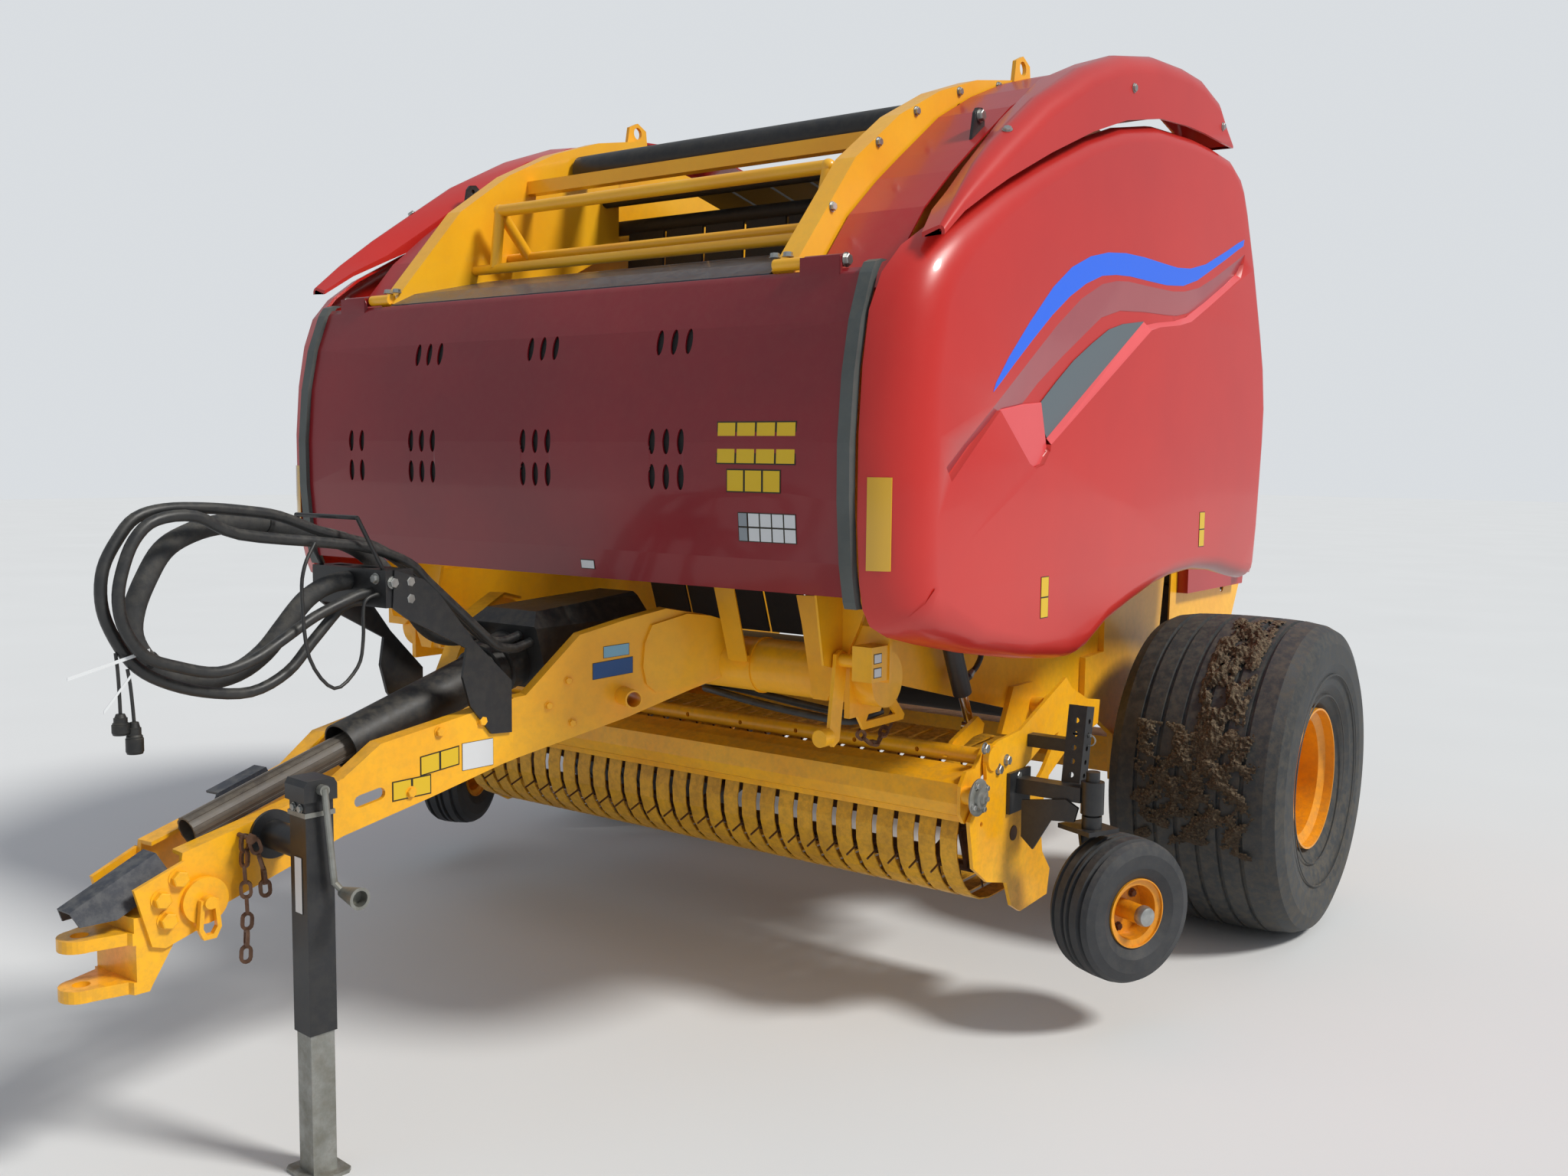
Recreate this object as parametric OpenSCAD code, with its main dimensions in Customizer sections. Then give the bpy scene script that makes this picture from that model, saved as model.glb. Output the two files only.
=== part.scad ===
// Round baler with a fixed drawbar tongue, tine pickup and gull-wing side doors.
// +X is the baler's left side, -Y is the hitch end, +Z is up, the ground is z = 0.

/* [Wheels] */
// Outside diameter of the main tyres
tyre_d = 1000; // [900:5:1100]
// Section width of the main tyres
tyre_w = 546; // [500:2:580]
// Diameter of the main rims at the bead
rim_d = 446; // [430:1:460]
// Distance of each main tyre's middle from the centreline
track_half = 1230; // [1210:5:1300]
// Outside diameter of the pickup's gauge wheels
gauge_d = 381; // [360:1:400]
// Section width of the gauge wheels
gauge_w = 152; // [130:1:165]
// Diameter of the gauge rims at the bead
gauge_rim_d = 182; // [176:1:190]

/* [Body] */
// Outer face of the side doors from the centreline
door_x = 1130; // [1110:5:1160]
// Sheet thickness of the moulded doors and hoods
shell_t = 8; // [5:1:12]
// Outer face of the chamber walls from the centreline
wall_x = 806; // [790:2:830]
// Plate thickness of the chamber walls
wall_t = 6; // [4:1:12]
// Half width of the front shield
shield_half = 961; // [930:1:975]
// Sheet thickness of the front shield
shield_t = 5; // [3:0.5:8]
// Inner face of the front cheek plates from the centreline
cheek_x = 662; // [640:2:680]
// Diameter of the frame's cross pipe
pipe_d = 140; // [120:2:150]
// Diameter of the front top roller
roller_d = 96; // [80:2:110]
// Width of one forming belt
belt_w = 157; // [140:1:160]

/* [Tongue] */
// Thickness of the tongue's side plates
beam_t = 12; // [8:1:16]
// Bore for the drawbar pin
hitch_bore = 34; // [25:1:40]
// Thickness of the two hitch plates
hitch_plate_t = 25; // [18:1:30]
// Side of the square jack sleeve
jack_w = 62; // [56:1:70]
// Wall of the square jack sleeve
jack_wall = 3.7; // [2.5:0.1:5]

/* [Pickup] */
// Radius of the outside of the stripper bands
band_r = 190; // [180:1:195]
// Radius at the tips of the tines
tine_r = 233; // [215:1:235]
// Spacing of the stripper bands and tines along the reel
tine_pitch = 66; // [60:1:68]
// Width of one stripper band
band_w = 50; // [40:1:52]
// Number of tine positions along the reel
tine_n = 28; // [24:1:29]
// Wire diameter of the tines
tine_d = 6; // [4:0.5:8]

/* [Clearances] */
// Running gap between a pin and its bore
pin_gap = 0.4; // [0.3:0.1:0.8]
// Gap left between separate pieces that touch
seat_gap = 0.3; // [0.3:0.1:0.8]
// Running gap beside a piece that turns
side_gap = 5; // [4:0.5:8]

/* [Hidden] */
$fn = 48;
mid_y = 990;
axle_z = tyre_d / 2;
wall_in = wall_x - wall_t;

red = [0.70, 0.10, 0.11];
yellow = [0.95, 0.68, 0.10];
black = [0.06, 0.06, 0.07];
dark = [0.10, 0.10, 0.11];
rubber = [0.12, 0.12, 0.12];
steel = [0.62, 0.63, 0.63];
navy = [0.12, 0.15, 0.25];

module place() { translate([0, mid_y, 0]) children(); }
module both() { children(); mirror([1, 0, 0]) children(); }

// A closed shell through a list of rings with the same number of points, capped at both ends
module skin(rings) {
    n = len(rings[0]);
    m = len(rings);
    pts = [for (r = rings, p = r) p];
    sides = [for (k = [0 : m - 2], i = [0 : n - 1])
        [k * n + i, k * n + (i + 1) % n, (k + 1) * n + (i + 1) % n, (k + 1) * n + i]];
    halves = [for (q = sides, h = [0, 1]) h == 0 ? [q[0], q[1], q[2]] : [q[0], q[2], q[3]]];
    cap0 = [[for (i = [n - 1 : -1 : 0]) i]];
    cap1 = [[for (i = [0 : n - 1]) (m - 1) * n + i]];
    polyhedron(points = pts, faces = concat(halves, cap0, cap1), convexity = 8);
}

// A plate drawn in the y-z plane, from x0 outward by t
module side_plate(pts, x0, t) {
    translate([x0, 0, 0]) rotate([90, 0, 90]) linear_extrude(t) polygon(pts);
}
// A plate drawn in the x-z plane, from y0 rearward by t
module cross_plate(pts, y0, t) {
    translate([0, y0 + t, 0]) rotate([90, 0, 0]) linear_extrude(t) polygon(pts);
}
// A round bar along X, and one between any two points
module xbar(x0, x1, y, z, d, fn = 48) {
    translate([x0, y, z]) rotate([0, 90, 0]) cylinder(h = x1 - x0, d = d, $fn = fn);
}
module rod(a, b, d, fn = 10) {
    v = b - a;
    translate(a) rotate([0, acos(v[2] / norm(v)), atan2(v[1], v[0])]) cylinder(h = norm(v), d = d,
        $fn = fn);
}
// A strip of even thickness below a line of points, and the outline of an oval hole
function strip(p, t) = concat(p, [for (i = [len(p) - 1 : -1 : 0]) [p[i][0], p[i][1] - t]]);
function oval(l, w, n = 18) = [for (a = [0 : 360 / n : 359]) [w / 2 * cos(a), l / 2 * sin(a)]];
// A slot with straight sides and round ends, drawn along the first axis
function slot(l, w) = concat(
    [for (a = [-90 : 30 : 90]) [(l - w) / 2 + w / 2 * cos(a), w / 2 * sin(a)]],
    [for (a = [90 : 30 : 270]) [-(l - w) / 2 + w / 2 * cos(a), w / 2 * sin(a)]]);

// Tongue
// Each side plate runs straight, then turns outward: start x, start y and turn of the outer face
run_a = [82, -3040, -5.38];
run_b = [162, -2190, -24.66];
// Upper and lower edges of both runs: distance along the run, height
run_a_top = [[24, 687], [202, 730], [388, 780], [484, 844], [716, 880], [858, 903]];
run_a_low = [[858, 752], [818, 745], [608, 697], [386, 651], [31, 536], [0, 525]];
run_b_top = [[0, 904], [32, 908], [173, 1050], [300, 1083], [408, 1106], [531, 1083]];
run_b_low = [[578, 970], [672, 935], [590, 924], [476, 890], [300, 832], [90, 776], [0, 752]];
flange_w = 45;
flange_t = 8;
doubler = [[340, 960], [345, 1020], [365, 1066], [463, 1091], [531, 1083], [600, 1060], [600, 930],
    [449, 897], [375, 893], [350, 915]];
stub_at = [289, 889];
pipe_y = -1620;
pipe_z = 954;

module on_run(r) { translate([r[0], r[1], 0]) rotate([0, 0, r[2]]) children(); }
module run_plate(r, pts, x0, t) { on_run(r) side_plate(pts, x0, t); }

module tongue_beams() {
    place() color(yellow) {
        both() difference() {
            union() {
                difference() {
                    run_plate(run_a, concat(run_a_top, run_a_low), -beam_t, beam_t);
                    on_run(run_a) translate([-beam_t - 1, 454, 726]) rotate([90, 0, 90])
                        linear_extrude(beam_t + 2) rotate(10) polygon(slot(80, 28));
                }
                run_plate(run_a, strip(run_a_top, flange_t), -flange_w, flange_w);
                run_plate(run_b, concat(run_b_top, run_b_low), -beam_t, beam_t);
                run_plate(run_b, strip(run_b_top, flange_t), -flange_w, flange_w);
                run_plate(run_b, doubler, -1, 11);
                on_run(run_b) xbar(-1, 70, stub_at[0], stub_at[1], 47);
            }
            on_run(run_b) xbar(-beam_t - 1, 71, stub_at[0], stub_at[1], 38);
            xbar(-900, 900, pipe_y, pipe_z, pipe_d + 2 * seat_gap);
        }
        xbar(-98, 98, -2800, 660, 48);
        xbar(-144, 144, -2300, 800, 48);
    }
}

// Hitch: two plates on a tapered neck, held by cheek plates on the side plates' noses
hitch_y = -3188;
hitch_r = 42;
neck_side = [[-3230, 420], [-3090, 420], [-3085, 430], [-3040, 505], [-2990, 520], [-2990, 575],
    [-3118, 575], [-3118, 545], [-3230, 545]];
neck_plan = [[62, -3125], [75.2, -3121], [82.6, -3041], [69.6, -3040.5], [74, -2990]];
module neck_outline() {
    polygon(concat(
        [for (a = [180 : 15 : 360]) [hitch_r * cos(a), hitch_y + hitch_r * sin(a)]],
        neck_plan, [for (i = [len(neck_plan) - 1 : -1 : 0]) [-neck_plan[i][0], neck_plan[i][1]]]));
}
cheek = [[-80, 633], [-47, 512], [-20, 503], [48, 525], [24, 673]];
module hitch_clevis() {
    place() color(yellow) {
        difference() {
            intersection() {
                side_plate(neck_side, -90, 180);
                translate([0, 0, 400]) linear_extrude(200) neck_outline();
            }
            translate([-100, -3240, 420 + hitch_plate_t]) cube([200, 125, 125 - 2 * hitch_plate_t]);
            translate([0, hitch_y, 400]) cylinder(h = 200, d = hitch_bore);
        }
        both() run_plate(run_a, cheek, seat_gap, 10);
        // Boss, disc washer and shackle on the left cheek
        on_run(run_a) translate([10, 60, 585]) rotate([0, 90, 0]) {
            cylinder(h = 12, d = 96);
            translate([0, 0, -9.5]) cylinder(h = 45, d = 26);
        }
    }
    place() color(steel) on_run(run_a) difference() {
        side_plate([[42, 590], [36, 530], [46, 508], [72, 508], [84, 530], [78, 590]], 24, 14);
        side_plate([[49, 570], [45, 532], [52, 518], [66, 518], [75, 532], [71, 570]], 23, 16);
    }
}

// Bent sheet troughs that keep the raised driveline off the nose
trough = [[-58, -20], [-58, -16], [-36, -16], [-14, 62], [34, 62], [58, 2], [54, 0], [31, 58], [-11, 58],
    [-32, -20]];
module hitch_flaps() {
    place() color(navy) {
        difference() {
            translate([0, -3198, 548]) rotate([-66, 0, 0]) linear_extrude(196) mirror([0, 1])
                polygon(trough);
            translate([-100, -3300, 400]) cube([200, 400, 175 + seat_gap]);
        }
        mirror([1, 0, 0]) {
            run_plate(run_a, [[172, 723], [202, 730.5], [330, 765], [316, 792], [188, 758]], -44, 4);
            run_plate(run_a, [[190, 753], [318, 787], [316, 792], [188, 758]], -44, 40);
        }
    }
}

// Chain of flat-sided links that turn by a quarter from one to the next
link_l = 40;
link_w = 26;
wire = 7;
link_step = link_l - 2 * wire + 0.3;
module link() {
    rotate([90, 0, 0]) translate([0, 0, -wire / 2]) linear_extrude(wire) rotate(90) difference() {
        polygon(slot(link_l, link_w));
        polygon(slot(link_l - 2 * wire, link_w - 2 * wire));
    }
}
module chain(pts) {
    for (i = [0 : len(pts) - 2]) {
        a = pts[i];
        v = pts[i + 1] - a;
        n = max(1, floor(norm(v) / link_step));
        for (k = [0 : n - 1])
            translate(a + v * ((k + 0.5) / n)) rotate([0, acos(v[2] / norm(v)), atan2(v[1], v[0])])
                rotate([0, 0, 90 * ((i + k) % 2) + 20]) link();
    }
}
module safety_chain() {
    place() color([0.35, 0.24, 0.17]) {
        chain([[118, -2896, 704], [121, -2902, 640], [122, -2898, 540], [122, -2905, 436]]);
        chain([[135, -2890, 700], [140, -2870, 630], [140, -2866, 575]]);
        on_run(run_a) {
            xbar(seat_gap, 52, 144, 702, 10, 12);
            xbar(48, 54, 144, 702, 24, 6);
        }
    }
}

// Jack
jack_s = 218;
jack_out = 162;
jack_low = 306;
jack_top = 838;
jack_in = jack_w - 2 * jack_wall;
module on_jack() { on_run(run_a) translate([jack_out, jack_s, 0]) children(); }
module square_bar(w, z0, z1) { translate([-w / 2, -w / 2, z0]) cube([w, w, z1 - z0]); }
module jack_housing() {
    place() color(black) on_jack() {
        difference() {
            union() {
                square_bar(jack_w, jack_low, jack_top - 40);
                xbar(-jack_out + seat_gap, -jack_w / 2 + 1, 0, 690, 62);
                xbar(-jack_out + seat_gap, -jack_out + 9, 0, 690, 104);
            }
            square_bar(jack_in, jack_low - 1, jack_top - 60);
        }
        side_plate([[-37, 794], [-37, 826], [-30, jack_top], [30, jack_top], [37, 826], [37, 794]], -38,
            76);
    }
}
module jack_leg() {
    w = jack_in - 2 * pin_gap;
    place() color(steel) on_jack() {
        difference() {
            square_bar(w, 0, 520);
            square_bar(w - 10, 12, 521);
        }
        translate([-55, -48, 0]) linear_extrude(8)
            polygon([[0, 10], [10, 0], [100, 0], [110, 10], [110, 86], [100, 96], [10, 96], [0, 86]]);
    }
}
module jack_crank() {
    x = 38 + seat_gap;
    place() color(steel) on_jack() {
        xbar(x, x + 16, 0, 818, 22);
        rod([x + 14, 0, 822], [x + 16, 17, 622], 14);
        rod([x + 16, 17, 625], [x + 28, 30, 604], 14);
        difference() {
            translate([x + 24, 30, 604]) rotate([0, 90, 0]) cylinder(h = 66, d1 = 22, d2 = 46);
            translate([x + 66, 30, 604]) rotate([0, 90, 0]) cylinder(h = 50, d = 33);
        }
    }
}

// Hose rack
rack_arm = [[521, 1235], [598, 1210], [639, 1174], [735, 1055], [843, 950], [843, 822], [783, 826],
    [722, 901], [701, 972], [713, 1040], [554, 1122], [515, 1150]];
rack_y = [-2543, -2466];
rack_z = [1150, 1235];
module hose_rack() {
    place() color(black) {
        both() run_plate(run_a, rack_arm, seat_gap, 8);
        difference() {
            translate([-134, rack_y[0], rack_z[0]]) cube([268, rack_y[1] - rack_y[0],
                rack_z[1] - rack_z[0]]);
            translate([-126, rack_y[0] + 5, rack_z[0] - 1]) cube([252, rack_y[1] - rack_y[0], 81]);
            for (x = [-70, 30]) translate([x, rack_y[0] + 38, rack_z[1] - 10]) linear_extrude(20)
                polygon(slot(56, 26));
        }
        both() {
            rod([112, -2530, 1230], [112, -2600, 1354], 10, 8);
        }
        xbar(-112, 112, -2600, 1354, 10, 8);
    }
}

// Driveline
drive_a = [-2956, 706];
drive_tilt = 16.5;
drive_end = 942;
module on_drive() { translate([0, drive_a[0], drive_a[1]]) rotate([-90 + drive_tilt, 0, 0]) children(); }
module driveline_tube() {
    place() color(dark) on_drive() difference() {
        union() {
            cylinder(h = drive_end - 3, d = 60);
            for (a = [0 : 30 : 330]) rotate([0, 0, a]) translate([-4, 27, 0])
                cube([8, 4.5, drive_end - 120]);
        }
        translate([0, 0, -1]) cylinder(h = 700, d = 52);
    }
}
module driveline_shield() {
    place() color(black) on_drive() rotate_extrude() polygon([[58, 402], [58, 818], [66, 822], [66, 838],
        [61, 842],
        [61, 850], [70, 854], [70, 872], [65, 876], [65, 884], [75, 888], [75, drive_end - seat_gap],
        [67, drive_end - seat_gap], [67, 900], [55, 860], [55, 826], [32, 826], [32, 814], [54, 814],
            [54, 402]]);
}
guard_side = [[-2029.9, 896.8], [-2079.6, 1064.6], [-2045, 1099], [-1651, 1122], [-1651, 1030],
    [-1700, 900]];
guard_front = [[-125, 880], [-125, 1060], [-80, 1112], [-60, 1124], [60, 1124], [80, 1112], [125, 1060],
    [125, 880]];
module gearbox_guard() {
    place() color(black) difference() {
        intersection() {
            side_plate(guard_side, -130, 260);
            cross_plate(guard_front, -2100, 500);
        }
        xbar(-200, 200, pipe_y, pipe_z, pipe_d + 2 * seat_gap);
    }
}

// Front shield: outer face from bottom to top, y and z
shield_prof = [[-1937, 1185], [-1950, 1260], [-1962, 1400], [-1963, 1530], [-1950, 1680], [-1925, 1800],
    [-1885, 1905], [-1872, 1921]];
function shifted(p, t) = concat(p, [for (i = [len(p) - 1 : -1 : 0]) [p[i][0] + t, p[i][1]]]);
slot_cols = [-492, -446, -400, -42, 4, 50, 408, 454, 500];
slot_rows = [1446, 1531, 1770];
side_cols = [-758, -710];
shield_hy = -1858;
shield_hz = 1942;
module slot_hole(x, z) { translate([x, -1800, z]) rotate([90, 0, 0]) linear_extrude(250)
    polygon(oval(62, 22)); }
module front_shield() {
    place() color(red) {
        difference() {
            side_plate(shifted(shield_prof, shield_t), -shield_half, 2 * shield_half);
            for (x = slot_cols, z = slot_rows) slot_hole(x, z);
            for (x = side_cols, z = [slot_rows[0], slot_rows[1]]) slot_hole(x, z);
        }
        both() difference() {
            union() {
                xbar(790, 900, shield_hy, shield_hz, 30);
                translate([790, shield_hy - 27, 1900]) cube([110, 12, 50]);
            }
            xbar(780, 860, shield_hy, shield_hz, 16 + 2 * pin_gap);
        }
    }
}
seal_prof = [[-1937, 1160], [-1944, 1176], [-1962, 1260], [-1974, 1400], [-1975, 1530], [-1962, 1680],
    [-1937, 1800],
    [-1897, 1905], [-1880, 1930], [-1858, 1938]];
module shield_seals() {
    place() color(rubber) both() side_plate(shifted(seal_prof, 24), shield_half + seat_gap, 33);
}
module front_cover() {
    place() color(navy) difference() {
        side_plate(strip([[-1866, 1925], [-1780, 1965], [-1500, 2030]], 6), -cheek_x - 27.7,
            2 * cheek_x + 55.4);
        both() translate([600, -1560, 1900]) cylinder(h = 200, d = 20);
    }
}

// Top front: rails, cheeks, guard bars, roller, belts
rail_x = 690;
rail_w = 60;
rail_pts = [
    [-1860, 1930], [-1800, 2000], [-1600, 2230], [-1400, 2370], [-1200, 2470], [-1000, 2540], [-760, 2590],
    [-760, 2540], [-1000, 2475], [-1200, 2375], [-1380, 2250], [-1570, 2100], [-1760, 1915], [-1820, 1905]
];
// Lifting eyes: inner face x and thickness
eye_x = 745;
eye_t = 12;
// Upper face of the inner sheets, which lie over the chamber walls beside the eyes: y, z
sheet_line = [
    [-1812, 1882], [-1752, 1951], [-1636, 2086], [-1512, 2188], [-1413, 2260], [-1220, 2396],
    [-1049, 2483], [-868, 2556], [-713, 2604], [-500, 2622], [-268, 2624], [-100, 2596]
];
sheet_t = 6;
sheet_x = eye_x + eye_t + seat_gap;
cheek_pts = [[-1820, 1925], [-1780, 1945], [-1500, 2005], [-1100, 2100], [-900, 2200], [-900, 2540],
    [-1000, 2510],
    [-1200, 2440], [-1390, 2345], [-1590, 2205], [-1790, 1985]];
roller_y = -1090;
roller_z = 2430;
module front_rails() {
    place() color(yellow) {
        both() {
            difference() {
                union() {
                    side_plate(rail_pts, rail_x, rail_w);
                    side_plate(cheek_pts, rail_x, 8);
                    side_plate([[-800, 2560], [-690, 2560], [-700, 2640], [-743, 2660], [-786, 2640]],
                        eye_x, eye_t);
                }
                xbar(eye_x - 5, eye_x + eye_t + 3, -743, 2625, 40);
                xbar(680, 760, roller_y, roller_z, 56);
                xbar(680, 760, belt_bar[0], belt_bar[1], belt_bar[2] + 2 * seat_gap);
            }
            xbar(700, 850, shield_hy, shield_hz, 16);
            xbar(700, 785, shield_hy, shield_hz, 30);
            for (p = [[-1640, 2050], [-1275, 2315], [-900, 2500]]) xbar(749, wall_in - seat_gap, p[0],
                p[1], 30);
        }
        translate([-695, -1325, 2322]) cube([1390, 38, 40]);
    }
}
module guard_bars() {
    place() color(black) {
        xbar(-616, 616, -1515, 2236, 36);
        for (p = [[-1545, 2058], [-1400, 2110]]) xbar(-rail_x + seat_gap, rail_x - seat_gap, p[0], p[1],
            30);
        both() {
            translate([610, -1515, 2236]) sphere(d = 40);
            rod([610, -1515, 2236], [600, -1545, 2058], 34, 24);
            rod([610, -1515, 2236], [606, -1400, 2110], 34, 24);
        }
    }
}
module front_roller() {
    place() color(black) {
        xbar(-675, 675, roller_y, roller_z, roller_d);
        xbar(-wall_x - 20, wall_x + 20, roller_y, roller_z, 44);
    }
}
belt_path = [[-700, 900], [-900, 1500], [-860, 2290], [-850, 2290], [-890, 1500], [-690, 900]];
// Front belt bar, which passes through the cheeks: y, z, diameter
belt_bar = [-960, 2356, 50];
belt_n = 8;
belt_step = belt_w + 14;
module forming_belts() {
    place() color(black) {
        for (k = [0 : belt_n - 1]) side_plate(belt_path, (k - belt_n / 2) * belt_step + 7, belt_w);
        for (k = [0 : belt_n - 1])
            side_plate(strip([[-985, 2378], [-500, 2450], [40, 2336]], 10), (k - belt_n / 2)
                * belt_step + 7, belt_w);
        for (p = [[-885, 1500, 50], [-850, 2280, 50], belt_bar, [20, 2318, 50], [-420, 730, 150],
            [-60, 720, 150]])
            xbar(-wall_in + seat_gap, wall_in - seat_gap, p[0], p[1], p[2]);
    }
}

// Chamber walls: one outline in the y-z plane
wall_pts = concat(
    [for (k = [0 : 8]) let (p = sheet_line[k]) [p[0], p[1] - sheet_t - seat_gap]],
    [[-500, 2550], [-100, 2500], [60, 2360], [150, 2300], [330, 2100], [400, 1700], [380, 1200], [330, 900],
        [80, 620], [-300, 640], [-900, 780], [-1400, 900], [-1790, 1000], [-1850, 1300], [-1850, 1700]]
);
gate_y = 130;
gate_z = 2420;
module chamber_walls() {
    place() color(yellow) both() difference() {
        side_plate(wall_pts, wall_in, wall_t);
        xbar(wall_x - 50, wall_x + 50, roller_y, roller_z, 44 + 2 * pin_gap);
        xbar(wall_x - 50, wall_x + 50, pipe_y, pipe_z, pipe_d + 2 * seat_gap);
        // Slot for the bent bracket's face plate
        translate([wall_x - 20, gusset_y - seat_gap, 940]) cube([40, 10 + 2 * seat_gap, 225]);
    }
}

// Frame: cross pipe, axle, side plates, pivots
foot_pts = [[-341, 706], [-341, 863], [-200, 869], [-200, 1180], [40, 1180], [160, 700], [160, 420],
    [-90, 420], [-107, 578]];
gusset_y = -1712;
gusset = [[666, 1155], [880, 1161], [856, 1093], [763, 900], [720, 900], [684, 1084]];
lift_y = -700;
lift_z = 760;
lift_p = [-1330, 1123];
lift_q = [-1158, 766];
cyl_p = [-150, 1250];
cyl_q = [480, 2130];
cyl_x = wall_x + 54;
lift_x = 860;
module main_frame() {
    place() color(yellow) {
        xbar(-880, 880, pipe_y, pipe_z, pipe_d);
        translate([-880, -70, axle_z - 60]) cube([1760, 140, 120]);
        both() {
            side_plate(foot_pts, wall_x + seat_gap, 20);
            side_plate([[-1700, 860], [-1560, 860], [-1480, 960], [-1480, 1060], [-1700, 1060]],
                wall_x + seat_gap, 16);
            xbar(879, track_half - 60, 0, axle_z, 80);
            difference() {
                side_plate([[gate_y - 60, gate_z - 140], [gate_y + 10, gate_z - 140], [gate_y + 50, gate_z],
                    [gate_y + 30, gate_z + 45], [gate_y - 40, gate_z + 45], [gate_y - 130, gate_z]],
                    wall_x + seat_gap, 14);
                xbar(wall_x - 20, wall_x + 40, gate_y, gate_z, 40 + 2 * pin_gap);
            }
            door_arms();
            xbar(wall_x + seat_gap, wall_x + 14, cyl_p[0], cyl_p[1], 90);
            xbar(wall_x + 10, wall_x + 80, cyl_p[0], cyl_p[1], 36);
            xbar(wall_x + 8, 940, lift_y, lift_z, 50);
            side_plate([[-900, 700], [-600, 640], [-600, 760], [-700, 830], [-830, 830]],
                wall_x + seat_gap, 16);
            xbar(wall_x + seat_gap, wall_x + 14, lift_p[0], lift_p[1], 80);
            xbar(wall_x + 10, lift_x + 26, lift_p[0], lift_p[1], 30);
            // Bent bracket between the cross pipe and the shield's lower edge
            cross_plate(gusset, gusset_y, 10);
            cross_plate([[810, 1093], [935, 1093], [935, 960], [860, 960], [810, 1000]], -1700, 10);
            for (x = [700, 770]) side_plate([[-1712, 1140], [-1712, 1084], [-1690, 900], [-1600, 900],
                [-1600, 1140]], x, 10);
            xbar(496, 504, pipe_y, pipe_z, pipe_d + 8);
        }
        cross_plate([[397, 1158], [463, 1158], [509, 973], [447, 973]], -1706, 4);
        translate([452, -1704, 970]) cube([50, 30, 16]);
        translate([875, -1772, 968]) cube([56, 82, 84]);
    }
}

// Hand lever and its slotted bracket
lever = [[-1760, 1025], [-1738, 1034], [-1716, 1024], [-1714, 1000], [-1742, 812], [-1766, 800],
    [-1788, 816], [-1762, 1000]];
lever_x = 812;
fan = [[-1640, 870], [-1600, 815], [-1411, 815], [-1405, 828], [-1480, 905], [-1500, 990], [-1545, 990]];
fan_hole = [[-1590, 835], [-1450, 835], [-1510, 890], [-1556, 890]];
module lever_set() {
    place() {
        color(yellow) {
            side_plate(lever, lever_x, 10);
            xbar(lever_x, 875 - seat_gap, -1738, 1010, 32);
            difference() {
                side_plate(fan, wall_in - seat_gap - 8, 8);
                side_plate(fan_hole, wall_in - seat_gap - 9, 10);
                xbar(700, 900, pipe_y, pipe_z, pipe_d + 2 * seat_gap);
            }
        }
        color(black) translate([lever_x + 5, -1785, 828]) rotate([90, 0, 0]) {
            translate([0, 0, -20]) cylinder(h = 24, d = 14);
            cylinder(h = 36, d = 42);
        }
    }
}
module lever_chain() {
    place() color(steel) {
        chain([[785, -1604, 809.2], [783, -1545, 768], [779, -1500, 765], [774, -1455, 795],
            [774, -1420, 840], [774, -1403, 885]]);
    }
}

// Side doors
// Pillow shell: outline rows are y, z, edge radius; the shell's outer face lies at x = door_x
function unit(v) = v / norm(v);
function inward(o, i) =
    let (n = len(o), a = o[(i + n - 1) % n], b = o[(i + 1) % n], d = unit([b[0] - a[0], b[1] - a[1]]))
    [-d[1], d[0]];
function pillow_ring(o, a, t) = [for (i = [0 : len(o) - 1])
    let (r = o[i][2], q = r - t, s = r - q * cos(a), v = inward(o, i))
    [door_x - r + q * sin(a), o[i][0] + v[0] * s, o[i][1] + v[1] * s]];
module pillow(o, t) {
    steps = [90, 67, 45, 22, 0];
    skin(concat(
        [for (a = steps) pillow_ring(o, a, 0)],
        [for (k = [4 : -1 : 0]) pillow_ring(o, steps[k], t)]
    ));
}

// Side door outline, counter-clockwise seen from outside with y to the left: y, z, edge radius
door_edge = [
    [-1905, 1120, 120], [-1850, 1092, 110], [-1768, 1070, 90], [-1600, 1035, 70], [-1343, 994, 60],
        [-1121, 970, 60],
    [-1040, 968, 60], [-975, 982, 60], [-854, 1035, 60], [-680, 1080, 60], [-493, 1122, 60],
    [-359, 1145, 50], [-181, 1154, 50], [12, 1142, 50], [221, 1109, 50], [310, 1097, 50],
    [350, 1108, 50], [372, 1143, 50], [395, 1270, 50], [410, 1420, 50], [424, 1560, 50], [427, 1681, 50],
        [400, 1820, 50], [357, 1935, 50], [264, 2150, 50],
    [179, 2317, 50], [135, 2385, 50], [90, 2425, 50], [-2, 2461, 50], [-160, 2469, 50], [-319, 2468, 50],
    [-615, 2447, 50], [-851, 2398, 50], [-1065, 2328, 50], [-1305, 2233, 60], [-1522, 2138, 70],
    [-1718, 2036, 90], [-1820, 1970, 110], [-1882, 1905, 120], [-1918, 1820, 128], [-1940, 1700, 128],
    [-1952, 1550, 128], [-1952, 1350, 128], [-1940, 1220, 128], [-1925, 1160, 128]
];

// Wavy pocket in the door's outer face, counter-clockwise seen from outside with y to the left: y, z
pocket_depth = 18;
door_pocket = [
    [-1788, 1478], [-1710, 1530], [-1540, 1640], [-1370, 1753], [-1245, 1835], [-1110, 1912], [-980, 1963],
    [-890, 1980], [-810, 1987], [-645, 1989], [-485, 1992], [-390, 2001], [-275, 2023], [-137, 2069],
    [50, 2141], [130, 2172], [124, 2140], [100, 2092], [15, 2056], [-190, 1971], [-325, 1917], [-418, 1899],
    [-565, 1882], [-633, 1868], [-1262, 1535], [-1266, 1518], [-1300, 1484], [-1345, 1475], [-1378, 1487],
    [-1538, 1612], [-1665, 1518], [-1762, 1445]
];
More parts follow.
